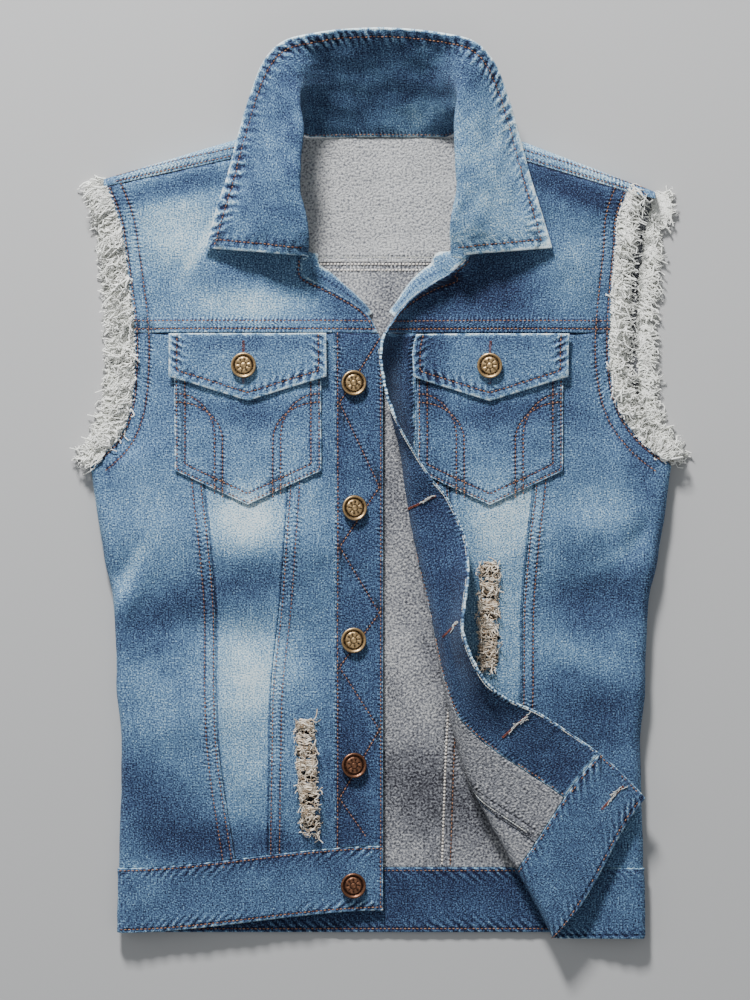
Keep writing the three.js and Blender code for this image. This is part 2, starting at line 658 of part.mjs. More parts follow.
function pocketAndFlap(side) {
  const pocketLow = CLOTH + FELL_RISE + LAYER_GAP;
  const flapLow = pocketLow + PATCH_CLOTH + LAYER_GAP;
  patch(`pocket_${side}`, side, POCKET, pocketLow, PATCH_CLOTH, [8, 6], denim);
  patch(`pocket_flap_${side}`, side, FLAP, flapLow, DOUBLE_CLOTH, [8, 3], denim);
  button(`flap_button_${side}`, side, FLAP_BUTTON[side], FLAP_BUTTON.y, flapLow + DOUBLE_CLOTH + SEAM_GAP);
}

// A stamped button: shank, turned-up rim, sunk ring and raised crown
function button(name, side, a, y, height) {
  const r = BUTTON.radius;
  const base = BUTTON.stand;
  const profile = [
    [0, 0],
    [BUTTON.shank, 0],
    [BUTTON.shank, base],
    [r * 0.92, base],
    [r, base + 0.9],
    [r * 0.93, base + BUTTON.rim],
    [r * 0.78, base + BUTTON.rim],
    [r * 0.68, base + BUTTON.well],
    [0, base + BUTTON.crown],
  ].map(([x, z]) => new THREE.Vector2(x, z));
  const geometry = new THREE.LatheGeometry(profile, 12).rotateX(Math.PI / 2);
  geometry.deleteAttribute("normal");
  geometry.deleteAttribute("uv");
  const mesh = add(name, mergeVertices(geometry, 1e-4), agedBrass);
  const seat = layered(side, a, y, height);
  const normal = layered(side, a, y, height + 1).sub(seat).normalize();
  mesh.position.copy(seat);
  mesh.quaternion.setFromUnitVectors(new THREE.Vector3(0, 0, 1), normal);
}

// The back: two shaped seams, a yoke that wraps over the shoulders, and a hem band
function backPanel(name, from, to, stations) {
  const stops = [...BODY_STOPS, ...ARMHOLE_STOPS, ...BACK_STOPS];
  const geometry = wallGeometry(stations, stops, (u, stop, face) => {
    const y = clamp(stop, BAND_TOP_Y + half, BACK_YOKE_Y - half);
    return layered("back", mix(from(y), to(y), u), y, face * CLOTH);
  });
  add(name, geometry, wrongSide);
}

function backEnd(y) {
  return y > PIT_Y ? armhole(y, "back") : backSeamEnd(y);
}

function backPanels() {
  backPanel("back_centre", (y) => half - backSeams(y, "seam"), (y) => backSeams(y, "seam") - half, steps(4));
  const turn = [0, 0.3, 0.6, 0.85, 0.945, 0.963, 0.981, 1];
  backPanel("back_side_left", (y) => -backEnd(y), (y) => -backSeams(y, "seam") - half, turn.map((u) => 1 - u).reverse());
  backPanel("back_side_right", (y) => backSeams(y, "seam") + half, backEnd, turn);
}

const climbHeight = (x, share) => mix(BACK_YOKE_Y + half, backTop(x) - half, share);

function backYoke() {
  const out = [0, 25, 50, 62, 70, 77, 84, 88, 110, 140, 170, 200, 226];
  const columns = [...out.slice(1).map((x) => -x).reverse(), ...out];
  const geometry = wallGeometry(columns, BACK_CLIMB, (x, v, face) => {
    const share = Math.abs(x) / 226;
    const y = climbHeight(x, v);
    const edge = armhole(Math.min(y, shoulderFold(x)), "back");
    return layered("back", Math.sign(x) * share * edge, y, face * CLOTH);
  });
  add("back_yoke", geometry, wrongSide);
}

function backBand() {
  const columns = [-1, -0.99, -0.98, -0.965, ...steps(10).map((u) => 1.9 * u - 0.95), 0.965, 0.98, 0.99, 1];
  const geometry = wallGeometry(columns, steps(2), (u, v, face) => {
    const y = mix(HEM_Y, BAND_TOP_Y - half, v);
    return layered("back", u * backSeamEnd(y), y, face * DOUBLE_CLOTH);
  });
  add("hem_band_back", geometry, denim);
}

// The collar stands on the neckline at the back and rolls over on to the fronts.
function collarFoot(at, side) {
  const first = COLLAR.findLast((row) => row.at <= at);
  const next = COLLAR[Math.min(first.at + 1, COLLAR.length - 1)];
  const t = at - first.at;
  const foot = (row) => {
    if (row.y !== undefined) return layered(side, frontEdge(row.y) - FOOT.beside, row.y, FOOT.height);
    const x = NECK_MIDDLE_X + (side === "left" ? -1 : 1) * row.x;
    const behind = row.x > SHOULDER_TURN_X ? FOOT.besideShoulder : FOOT.behind;
    return layered("back", x, backTop(x) + behind, FOOT.height);
  };
  return foot(first).lerp(foot(next), t);
}

function collarPoint(station, across) {
  const side = station < 0 ? "left" : "right";
  const sign = station < 0 ? -1 : 1;
  const at = COLLAR.length - 1 - Math.abs(station);
  const read = (column) => collarRow(at, column);
  const foot = collarFoot(at, side);
  const top = new THREE.Vector3(NECK_MIDDLE_X + sign * read("rollX"), read("rollY"), read("rollZ"));
  const out = new THREE.Vector3(NECK_MIDDLE_X + sign * read("outX"), read("outY"), read("outZ"));
  const flat = smooth((at - 4.6) / 2);
  const over = out.clone().sub(top);
  const reach = over.length();
  const level = new THREE.Vector3(over.x, over.y, 0).setLength(reach * 0.8);
  const topWay = level.lerp(out.clone().sub(foot).multiplyScalar(0.5), flat);
  const footWay = new THREE.Vector3(0, 0, 34).lerp(top.clone().sub(foot), flat);
  if (across < 0.45) return hermite(foot, footWay, top, topWay.clone().multiplyScalar(0.8), across / 0.45);
  return hermite(top, topWay, out, over.clone().multiplyScalar(1.1), (across - 0.45) / 0.55);
}

function hermite(from, leave, to, arrive, t) {
  return from
    .clone()
    .multiplyScalar(2 * t ** 3 - 3 * t ** 2 + 1)
    .addScaledVector(leave, t ** 3 - 2 * t ** 2 + t)
    .addScaledVector(to, 3 * t ** 2 - 2 * t ** 3)
    .addScaledVector(arrive, t ** 3 - t ** 2);
}

function collar() {
  const last = COLLAR.length - 1;
  const along = Array.from({ length: 3 * last + 1 }, (_, i) => (2 * i) / 3 - last);
  const across = [0, 0.12, 0.22, 0.3, 0.37, 0.45, 0.54, 0.66, 0.82, 1];
  const step = 0.02;
  const geometry = wallGeometry(across, along, (t, s, face) => {
    const inside = clamp(s, -last + step, last - step);
    const low = clamp(t, step, 1 - step);
    const way = collarPoint(inside, low + step).sub(collarPoint(inside, low - step));
    const side = collarPoint(inside + step, low).sub(collarPoint(inside - step, low));
    const normal = way.cross(side).normalize();
    return collarPoint(s, t).addScaledVector(normal, (face - 0.5) * DOUBLE_CLOTH);
  });
  add("collar", geometry, denim);
}

// A narrow facing shows inside each edge of the open neck. It hangs from the edge and falls inward.
function facingPoint(side, u, y) {
  const from = layered(side, frontEdge(y) + 1.6, y, -SEAM_GAP - CLOTH / 2);
  const reach = 4 + FACING.reach * smooth((y - FACING.low) / (FACING.high - FACING.low));
  const inward = side === "left" ? 1 : -1;
  const drop = Math.min(FACING.drop, Math.max(0, from.z - CLOTH * 1.5 - LAYER_GAP)) * u * u;
  return new THREE.Vector3(from.x + inward * u * reach, from.y + u * reach * 0.8, from.z - drop);
}

function neckFacing(side) {
  const stops = steps(7).map((share) => mix(FACING.low, FACING.high, share));
  const step = 0.01;
  const geometry = wallGeometry([0, 0.5, 1], stops, (u, y, face) => {
    const across = facingPoint(side, u + step, y).sub(facingPoint(side, u - step, y));
    const along = facingPoint(side, u, y + step).sub(facingPoint(side, u, y - step));
    const normal = across.cross(along).normalize();
    return facingPoint(side, u, y).addScaledVector(normal, (face - 0.5) * CLOTH);
  });
  add(`neck_facing_${side}`, geometry, paleDenim);
}

// Frayed edges: a narrow strip of loose cloth with thread locks rooted in it
function frayedEdge(name, surface, edgeAt, stops, heights) {
  const from = stops[0];
  const to = stops.at(-1);
  const strip = wallGeometry([0, 1], stops, (u, y, face) => {
    const [a, yOut] = besideEdge(surface, name, edgeAt, y, SEAM_GAP + u * FRAY.strip);
    return layered(surface, a, yOut, heights.strip + face * FRAY.stripHeight);
  });
  let solid = solidOf(strip);
  for (let k = 0; k < FRAY.locks; k += 1) {
    solid = solid.add(solidOf(lock(k, name, surface, edgeAt, mix(from, to, (k + 0.5) / FRAY.locks), heights)));
  }
  add(name, geometryOf(solid), rawThread);
}

// A place beyond the edge, straight out from it
function besideEdge(surface, name, edgeAt, y, out) {
  const slope = (edgeAt(y + 1) - edgeAt(y - 1)) / 2;
  const scale = (signed(surface, name) * out) / Math.hypot(1, slope);
  return [edgeAt(y) + scale, y - scale * slope];
}

const signed = (surface, name) => (surface === "back" && name.endsWith("left") ? -1 : 1);

// Evenly spread values that look uneven, the same on every run
const scatter = (k, salt) => {
  const wave = Math.sin((k + 1) * 12.9898 + salt * 78.233) * 43758.5453;
  return wave - Math.floor(wave);
};

function lock(k, name, surface, edgeAt, y, heights) {
  const salt = name.length + (name.endsWith("left") ? 3 : 7);
  const [a, yOut] = besideEdge(surface, name, edgeAt, y, SEAM_GAP + FRAY.strip * 0.5);
  const root = layered(surface, a, yOut, heights.strip + 0.5);
  const ahead = layered(surface, edgeAt(y + 2), y + 2, heights.strip + 0.5);
  const behind = layered(surface, edgeAt(y - 2), y - 2, heights.strip + 0.5);
  const edge = ahead.sub(behind).setZ(0).normalize();
  const outward = new THREE.Vector3(edge.y, -edge.x, 0);
  if (Math.sign(outward.x) !== Math.sign(root.x)) outward.negate();
  const length = mix(FRAY.shortest, FRAY.longest, scatter(k, salt));
  const lean = (scatter(k, salt + 1) - 0.5) * 1.1;
  const lift = heights.lift * (scatter(k, salt + 2) - 0.3);
  const positions = [];
  for (const t of [0, 1]) {
    const width = mix(FRAY.root, FRAY.tip, t);
    const middle = root
      .clone()
      .addScaledVector(outward, length * t)
      .addScaledVector(edge, length * lean * t * t);
    middle.z = clamp(mix(root.z, root.z + lift, t), heights.lowest + width, heights.highest);
    for (let corner = 0; corner < 3; corner += 1) {
      const angle = (corner * 2 * Math.PI) / 3 + Math.PI / 2;
      const around = edge.clone().multiplyScalar(Math.cos(angle) * width);
      positions.push(...middle.clone().add(around).add(new THREE.Vector3(0, 0, Math.sin(angle) * width)).toArray());
    }
  }
  const index = [0, 2, 1, 3, 4, 5];
  for (let corner = 0; corner < 3; corner += 1) {
    const next = (corner + 1) % 3;
    index.push(corner, next, 3 + next, corner, 3 + next, 3 + corner);
  }
  return facingOut(positions, index);
}

function frayedEdges() {
  for (const side of ["left", "right"]) {
    const low = { strip: 0.1, lift: 2.5, lowest: 5.2, highest: 9.5 };
    const upper = YOKE_STOPS.slice(3, -1).map((stop) => yokeFan(side, stop));
    const frontStops = [...ARMHOLE_STOPS.slice(1), ...upper];
    frayedEdge(`fray_front_${side}`, side, (y) => armhole(y, side), frontStops, low);
    const sign = side === "left" ? -1 : 1;
    const flat = { strip: 0.15, lift: 1.2, lowest: 0.3, highest: 2.2 };
    const climb = BACK_CLIMB.slice(1, 3).map((share) => climbHeight(226, share));
    const backStops = [...ARMHOLE_STOPS.slice(1), ...BACK_STOPS, ...climb];
    frayedEdge(`fray_back_${side}`, "back", (y) => sign * armhole(y, "back"), backStops, flat);
  }
}

backPanels();
backYoke();
backBand();
for (const side of ["left", "right"]) {
  frontPanels(side);
  frontYoke(side);
  frontBand(side);
  pocketAndFlap(side);
  neckFacing(side);
}
BUTTON_ROWS.forEach((y, k) => {
  button(`front_button_${k + 1}`, "left", BUTTON.middle, y, DOUBLE_CLOTH + SEAM_GAP);
});
collar();
frayedEdges();

export default vest;
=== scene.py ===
"""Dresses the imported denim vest: cloth, seams, stitches, frayed edges, torn places, buttons and studio.

Lengths are in millimetres until a mesh is made. A front is measured by a, the distance from its front edge,
and y, the height along the vest. The back is measured by x and the unrolled height y.
"""

from __future__ import annotations

import logging
import math
from dataclasses import dataclass, field
from enum import Enum
from typing import Callable

import bpy
import numpy as np
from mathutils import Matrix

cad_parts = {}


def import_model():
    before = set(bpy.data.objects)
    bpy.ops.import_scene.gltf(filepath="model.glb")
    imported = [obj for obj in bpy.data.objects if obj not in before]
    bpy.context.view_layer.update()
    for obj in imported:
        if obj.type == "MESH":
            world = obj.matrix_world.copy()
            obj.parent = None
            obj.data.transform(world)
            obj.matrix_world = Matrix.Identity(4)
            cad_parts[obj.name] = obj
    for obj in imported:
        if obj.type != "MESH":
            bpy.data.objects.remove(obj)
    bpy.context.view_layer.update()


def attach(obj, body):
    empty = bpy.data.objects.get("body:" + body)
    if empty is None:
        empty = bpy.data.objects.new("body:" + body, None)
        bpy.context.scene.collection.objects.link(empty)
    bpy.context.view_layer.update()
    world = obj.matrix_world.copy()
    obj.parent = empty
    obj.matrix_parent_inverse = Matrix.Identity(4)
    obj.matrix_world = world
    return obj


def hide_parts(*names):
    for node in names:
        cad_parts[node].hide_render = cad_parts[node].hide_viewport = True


log = logging.getLogger("vest")

MM = 0.001
CLOTH, DOUBLE_CLOTH, PATCH_CLOTH = 1.3, 2.4, 1.5
SEAM_GAP, ROLLED_GAP, LAYER_GAP = 0.3, 0.6, 0.5
FELL_RISE, FELL_WIDTH = 0.7, 11.0
HEM_Y, BAND_TOP_Y, PIT_Y = -364.0, -311.0, 20.0
FRONT_YOKE_Y, BACK_YOKE_Y = 127.0, 185.0
NECK_POINT = (84.0, 278.0)
NECK_MIDDLE_X = -2.0
BUTTON_EDGE_X, HOLE_EDGE_X = 1.6, -21.3
PLACKET_WIDTH = {"left": 39.4, "right": 48.0}
HEM_RISE = 18.0
HEM_DROP = {"left": 0.0, "right": 5.0}
TURN_RADIUS = 6.2
STITCH = 3.3
THREAD_LIFT = 0.12
TIP, PER_STATION, DEPTHS = 9, 8, 40
FACING_WIDTH, FACING_LOW, FACING_HIGH = 16.0, 140, 187

Grid = np.ndarray
Place = Callable[[Grid, Grid], Grid]


class Curves:
    """Smooth curves through the columns of a short table."""

    def __init__(self, columns: str, *rows: tuple[float, ...]) -> None:
        """Keeps the table sorted by its first column.

        Args:
            columns: The names of the columns, the key first.
            rows: The table's rows.
        """
        table = np.array(sorted(rows), dtype=float)
        self.key = table[:, 0]
        self.columns = {name: table[:, i] for i, name in enumerate(columns.split())}

    def __call__(self, value: Grid, column: str) -> Grid:
        """Reads one column.

        Args:
            value: Places along the key column.
            column: The column's name.

        Returns:
            The column's smooth value at each place.
        """
        key, read = self.key, self.columns[column]
        last = len(key) - 1
        at = np.clip(np.asarray(value, dtype=float), key[0], key[-1])
        i = np.minimum(np.searchsorted(key[1:], at, side="left"), last - 1)
        before, after = np.maximum(i - 1, 0), np.minimum(i + 2, last)
        span = key[i + 1] - key[i]
        t = (at - key[i]) / span
        leave = (read[i + 1] - read[before]) / (key[i + 1] - key[before]) * span
        arrive = (read[after] - read[i]) / (key[after] - key[i]) * span
        return (
            (2 * t**3 - 3 * t**2 + 1) * read[i]
            + (t**3 - 2 * t**2 + t) * leave
            + (3 * t**2 - 2 * t**3) * read[i + 1]
            + (t**3 - t**2) * arrive
        )


OUTLINE = Curves(
    "y width",
    (20, 238), (-10, 234), (-55, 227), (-85, 220.5), (-115, 217.5), (-170, 216), (-205, 212.5), (-300, 214.5),
    (-366, 215.5),
)
ARMHOLE = Curves(
    "y left right back",
    (252, 229, 230, 227), (222, 217, 217, 220), (195, 212, 214.5, 215), (165, 208, 211, 212),
    (130, 204, 209, 210), (95, 204, 210, 211), (62, 208, 218, 215), (38, 219, 235, 224), (20, 238.6, 258, 238),
)
NECKLINE = Curves(
    "y edge",
    (-400, 0), (90, 0), (118, 0.6), (131, 6), (140, 11), (148, 19), (157, 34), (166, 51), (172, 64), (178, 67),
    (186, 66.5), (210, 78), (240, 85), (280, 84.5),
)
FRONT_SEAMS = Curves(
    "y inner outer",
    (127, 70.5, 154), (1, 77, 147), (-42, 80, 142), (-97, 84, 137.5), (-165, 91, 137), (-219, 92.2, 134.5),
    (-312, 93.6, 121),
)
BACK_SEAMS = Curves("y seam", (186, 96), (0, 72), (-174, 54), (-312, 48))
SWELL = Curves(
    "y edge left right side",
    (280, 11.1, 11.1, 11.1, 9), (240, 11.5, 10.6, 10.6, 8), (200, 11, 9.5, 9.5, 6.6), (172, 9, 9, 9, 5.4),
    (140, 5.4, 9.5, 9, 5), (110, 3.8, 11, 9.5, 5), (60, 3.8, 12.5, 10, 5.4), (20, 3.8, 15, 11.5, 9),
    (-45, 3.8, 18, 13, 15), (-85, 3.8, 14, 11, 13.5), (-122, 3.8, 10, 10, 12), (-180, 4, 13, 11, 13),
    (-230, 4.4, 13.5, 10.5, 13), (-285, 5, 10, 9, 11), (-311, 5.2, 9, 8.5, 10.2), (-366, 5.4, 8, 8, 10),
)
ROLL = Curves(
    "y x reach radius turn heading flap rise",
    (276, 82, 276, 12, 4, 26, 0, 0), (240, 79, 240, 14, 30, 26, 0, 0), (210, 75, 210, 16, 50, 26, 0, 0),
    (185, 68, 185, 18, 64, 26, 0, 0), (154, 23.8, 154, 23, 52, 27, 0, 0), (120, 0, 120, 27, 90, 28, 0, 0),
    (81, 2.7, 81, 27, 95, 30, 0, 0), (44, 12, 44, 20, 130, 30, 1.4, 0), (24, 16.4, 23.8, 15, 158, 27, 3, 0),
    (-2.5, 19.7, -3.3, 12, 176, 26, 13.4, 0), (-22, 23, -23, 10, 180, 26, 25, 0),
    (-60.7, 31, -61.5, 10, 180, 27, 33, 2), (-88, 37, -89.4, 11, 180, 31, 28.6, 11),
    (-115, 42.6, -117.3, 12, 180, 40, 20, 15), (-137, 46.7, -140.2, 13, 180, 48, 16, 16),
    (-180, 55, -183.7, 12.5, 180, 44, 27, 15), (-203, 61.5, -208.3, 11, 180, 42, 44, 9),
    (-233, 70.5, -237, 10, 180, 42, 69.5, 2), (-266, 87, -269.8, 8.5, 180, 44.5, 89.3, 0),
    (-296, 103.3, -299.3, 8, 180, 46, 104, 0), (-340, 127, -342, 8, 180, 47.5, 118.2, 0),
    (-366, 140, -368, 8, 180, 48.5, 123, 0),
)
BACK_NECK = Curves("x end", (0, 287), (54, 287), (64, 289), (74, 298), (84, 322))
COLLAR_FRONT_FEET = (187.0, 210.0, 238.0, 264.0)
COLLAR_BACK_FEET = (80.0, 70.0, 56.0, 38.0, 19.0, 0.0)
COLLAR = Curves(
    "at rollX rollY rollZ outX outY outZ",
    (0, 66, 190, 27, 142, 196, 16), (1, 63.5, 214, 37, 133.5, 225, 17.5), (2, 68, 242, 42, 123, 258, 18.5),
    (3, 67, 268, 44, 113.5, 293, 22), (4, 64, 296, 45, 103.5, 325, 30), (5, 66, 322, 44, 92, 350, 39),
    (6, 60, 334, 38, 76, 364, 45), (7, 43, 336, 28, 50, 370, 47), (8, 21, 336, 25, 24, 373, 47),
    (9, 0, 336, 24, 0, 374, 47),
)
# The largest folds: side, place a and y, half lengths long and short, lie in degrees, and rise
FOLDS = (
    ("left", 209, -92, 28, 9, -63, 4), ("left", 214, -70, 20, 10, -63, -3.5), ("left", 110, -46, 80, 20, 4, 3),
    ("left", 130, -116, 75, 17, 8, -2.6), ("left", 158, -188, 55, 24, -12, 3), ("left", 70, -255, 34, 26, 20, 2.4),
    ("left", 150, 186, 42, 14, 28, 2.2), ("right", 224, -74, 30, 9, -72, 3.6),
    ("right", 233, -40, 26, 8, 58, -3.4), ("right", 192, -38, 38, 20, 10, 2.8),
    ("right", 196, -92, 36, 18, -6, -2.6), ("right", 203, -146, 34, 24, -20, 3),
    ("right", 206, -210, 34, 20, -30, -2.4), ("right", 160, 190, 40, 14, -24, 2.2),
)


def smooth(share: Grid) -> Grid:
    """Eases a share from 0 to 1."""
    t = np.clip(share, 0, 1)
    return t * t * (3 - 2 * t)


def mix(low: Grid, high: Grid, share: Grid) -> Grid:
    """Mixes two values."""
    return low + (high - low) * share


def stack(x: Grid, y: Grid, z: Grid) -> Grid:
    """Joins three grids to points."""
    return np.stack(np.broadcast_arrays(x, y, z), axis=-1).astype(float)


def unit(way: Grid) -> Grid:
    """Scales vectors to length one."""
    return way / np.maximum(np.linalg.norm(way, axis=-1, keepdims=True), 1e-9)


def ripple(x: Grid, y: Grid, wave: float, seed: int) -> Grid:
    """Gives gentle seeded unevenness.

    Args:
        x: Places across.
        y: Places along.
        wave: The usual length of a wave.
        seed: Picks the waves.

    Returns:
        Values of about -1 to 1.
    """
    rng = np.random.default_rng(seed)
    total = np.zeros(np.broadcast(x, y).shape)
    for _ in range(7):
        angle, start = rng.uniform(0, math.tau, 2)
        length = wave * rng.uniform(0.6, 1.7)
        total += np.sin((x * math.cos(angle) + y * math.sin(angle)) * math.tau / length + start)
    return total / 3.2


class Surface:
    """A cloth surface that places flat measures in space."""

    outward = 1.0
    step = 0.4

    def at(self, a: Grid, y: Grid) -> Grid:
        """Places points on the surface."""
        raise NotImplementedError

    def normal(self, a: Grid, y: Grid) -> Grid:
        """Finds the way out of the surface."""
        step = self.step
        across = self.at(a + step, y) - self.at(a - step, y)
        along = self.at(a, y + step) - self.at(a, y - step)
        return unit(np.cross(across, along)) * self.outward

    def lifted(self, a: Grid, y: Grid, height: Grid) -> Grid:
        """Places points at a height over the surface.

        Args:
            a: Places across.
            y: Places along.
            height: Heights along the surface's own normal.

        Returns:
            Points in space.
        """
        a, y, height = np.broadcast_arrays(*(np.asarray(v, dtype=float) for v in (a, y, height)))
        return self.at(a, y) + self.normal(a, y) * height[..., None]

    def flat_x(self, a: Grid, y: Grid) -> Grid:
        """Gives the place across the vest before any rolling."""
        return a + 0 * y

    def wash_place(self, a: Grid, y: Grid) -> tuple[Grid, Grid]:
        """Gives the place that the faded dye and painted shade are read at."""
        return self.flat_x(a, y), y + 0 * a

    def measure(self, a: Grid, y: Grid) -> Grid:
        """Gives the place in the cut cloth, in millimetres."""
        return np.stack(np.broadcast_arrays(a, y), axis=-1).astype(float)


class BackLay(Surface):
    """The back, which lies on the surface and turns up at the sides and over the shoulders."""

    @staticmethod
    def fold(x: Grid) -> Grid:
        """Height of the fold over the shoulders."""
        return 295.5 + np.where(x < 0, -0.3, -0.38) * np.maximum(0, np.abs(x) - 85)

    @staticmethod
    def shoulder_seam(x: Grid) -> Grid:
        """Height of the shoulder seam on the front."""
        return NECK_POINT[1] + np.where(x < 0, -0.22, -0.3) * (np.abs(x) - NECK_POINT[0])

    def top(self, x: Grid) -> Grid:
        """Unrolled height of the upper edge: the neckline, then the shoulder seam."""
        out = np.abs(x - NECK_MIDDLE_X)
        start = self.fold(x) - TURN_RADIUS
        over = start + math.pi * TURN_RADIUS + np.maximum(0, start - self.shoulder_seam(x))
        return np.where(out <= NECK_POINT[0], np.minimum(over, BACK_NECK(out, "end")), over)

    @staticmethod
    def side_end(y: Grid) -> Grid:
        """Unrolled place of the side seam."""
        return OUTLINE(y, "width") + TURN_RADIUS * (math.pi / 2 - 1) - SEAM_GAP / 2

    def at(self, a: Grid, y: Grid) -> Grid:
        """Places points on the back."""
        x = a
        width = OUTLINE(y, "width")
        bend = np.abs(x) - (width - TURN_RADIUS)
        angle = np.maximum(bend, 0) / TURN_RADIUS
        turned = (y <= PIT_Y) & (bend > 0)
        side = stack(
            np.sign(x) * (width - TURN_RADIUS + TURN_RADIUS * np.sin(angle)), y, TURN_RADIUS * (1 - np.cos(angle))
        )
        start = self.fold(x) - TURN_RADIUS
        angle = np.clip((y - start) / TURN_RADIUS, 0, math.pi)
        past = np.maximum(0, y - start - math.pi * TURN_RADIUS)
        over = stack(
            x,
            np.where(y <= start, y, start + TURN_RADIUS * np.sin(angle) - past),
            TURN_RADIUS * (1 - np.cos(angle)),
        )
        return np.where(turned[..., None], side, over)


BACK = BackLay()


class FrontLay(Surface):
    """What both fronts share: outline, swell and folds."""

    side = "left"
    edge_x = BUTTON_EDGE_X
    outward = -1.0

    @staticmethod
    def edge(y: Grid) -> Grid:
        """Distance of the neckline from the straight front edge."""
        return np.maximum(0, NECKLINE(y, "edge"))

    def rim(self, y: Grid) -> Grid:
        """Distance of the armhole or the side."""
        return np.where(y > PIT_Y, ARMHOLE(y, self.side), OUTLINE(y, "width") + self.edge_x - CLOTH)

    def turn_radius(self, y: Grid) -> Grid:
        """Radius of the turn down to the side seam."""
        return np.clip(SWELL(y, "side") - TURN_RADIUS, 2.5, 9)

    def end(self, y: Grid) -> Grid:
        """Flat distance of the side seam or the armhole edge."""
        return np.where(y > PIT_Y, self.rim(y), self.rim(y) + self.turn_radius(y) * (math.pi / 2 - 1))

    def fold_rise(self, a: Grid, y: Grid) -> Grid:
        """Height that the large folds add."""
        rise = np.zeros(np.broadcast(a, y).shape)
        for side, fold_a, fold_y, long, short, lie, height in FOLDS:
            if side != self.side:
                continue
            c, s = math.cos(math.radians(lie)), math.sin(math.radians(lie))
            p = ((a - fold_a) * c + (y - fold_y) * s) / long
            q = ((y - fold_y) * c - (a - fold_a) * s) / short
            rise += height * np.exp(-p * p - q * q)
        return rise

    def height(self, a: Grid, y: Grid, edge_at: Grid) -> Grid:
        """Height of the front's inner face."""
        over = mix(SWELL(y, "edge"), SWELL(y, self.side), smooth((a - edge_at) / 70))
        level = mix(over, SWELL(y, "side"), smooth((a - self.rim(y) + 45) / 45)) + self.fold_rise(a, y)
        climb = smooth(1 - (BACK.shoulder_seam(self.flat_x(a, y)) - y) / 60)
        return mix(level, 2 * TURN_RADIUS - CLOTH, climb)

    def turned(self, a: Grid, y: Grid, edge_at: Grid) -> tuple[Grid, Grid]:
        """Turns the last stretch down to the side seam.

        Args:
            a: Flat distances.
            y: Heights along the vest.
            edge_at: Where the swell starts.

        Returns:
            The distances and heights after the turn.
        """
        radius = self.turn_radius(y)
        start = self.rim(y) - radius
        angle = np.clip((a - start) / radius, 0, math.pi / 2)
        level = self.height(np.minimum(a, start), y, edge_at)
        below = y <= PIT_Y
        flat = np.where(below, np.minimum(a, start) + radius * np.sin(angle), a)
        z = np.where(below, mix(TURN_RADIUS, level, np.cos(angle)), self.height(a, y, edge_at))
        return flat, z


class ButtonFront(FrontLay):
    """The front that carries the buttons."""

    def flat_x(self, a: Grid, y: Grid) -> Grid:
        """Gives the place across the vest."""
        return BUTTON_EDGE_X - a + 0 * y

    def at(self, a: Grid, y: Grid) -> Grid:
        """Places points on the button front."""
        flat, z = self.turned(a, y, self.edge(y))
        return stack(BUTTON_EDGE_X - flat, y, z)


class HoleFront(FrontLay):
    """The front with the buttonholes, which rolls back over itself."""

    side = "right"
    edge_x = -HOLE_EDGE_X
    outward = 1.0

    @staticmethod
    def spread(y: Grid) -> Grid:
        """How far the neck pushes the front out."""
        return 33 * smooth((y - 110) / 75)

    def flat_x(self, a: Grid, y: Grid) -> Grid:
        """Gives the place across the vest before the front rolls."""
        return HOLE_EDGE_X + a + self.spread(y) * (1 - a / 210)

    def flat_a(self, x: Grid, y: Grid) -> Grid:
        """Gives the flat distance of a place across the vest."""
        return (x - HOLE_EDGE_X - self.spread(y)) / (1 - self.spread(y) / 210)

    def at(self, a: Grid, y: Grid) -> Grid:
        """Places points on the flat part, the roll or the flap."""
        r = {name: ROLL(y, name) for name in ("x", "reach", "radius", "turn", "heading", "flap", "rise")}
        turn, flap = np.radians(r["turn"]), np.maximum(0, r["flap"])
        contact_x = r["x"] + r["radius"] * np.sin(np.minimum(turn, math.pi / 2))
        contact = self.flat_a(contact_x, y)
        arc = r["radius"] * turn
        path = arc + np.hypot(flap, r["rise"])
        edge = self.edge(y)
        flat, z = self.turned(a, y, contact)
        level = stack(self.flat_x(flat, y), y, z)
        along = (contact - a) / np.maximum(contact - edge, 1e-6) * path
        way = (np.cos(np.radians(r["heading"])), np.sin(np.radians(r["heading"])))

        def round_the_roll(angle: Grid) -> Grid:
            """Places points on the arc of the roll."""
            quarter = math.pi / 2
            up = SWELL(y, "edge") + r["radius"] * (1 - np.cos(angle))
            first = angle <= quarter
            out = r["radius"] * (1 - np.sin(angle))
            x = np.where(first, contact_x - r["radius"] * np.sin(angle), r["x"] + out * way[0])
            eased = mix(y, r["reach"], smooth(angle / quarter))
            return stack(x, np.where(first, eased, r["reach"] + out * way[1]), up)

        on_arc = (along <= arc) | (path < arc + 0.1)
        rolled = round_the_roll(np.where(on_arc, along / r["radius"], turn))
        t = np.where(on_arc, 0, (along - arc) / np.maximum(path - arc, 1e-6))
        beyond = stack(flap * t * way[0], flap * t * way[1], r["rise"] * t * t)
        return np.where((a >= contact)[..., None], level, rolled + beyond)


FRONT = {"left": ButtonFront(), "right": HoleFront()}


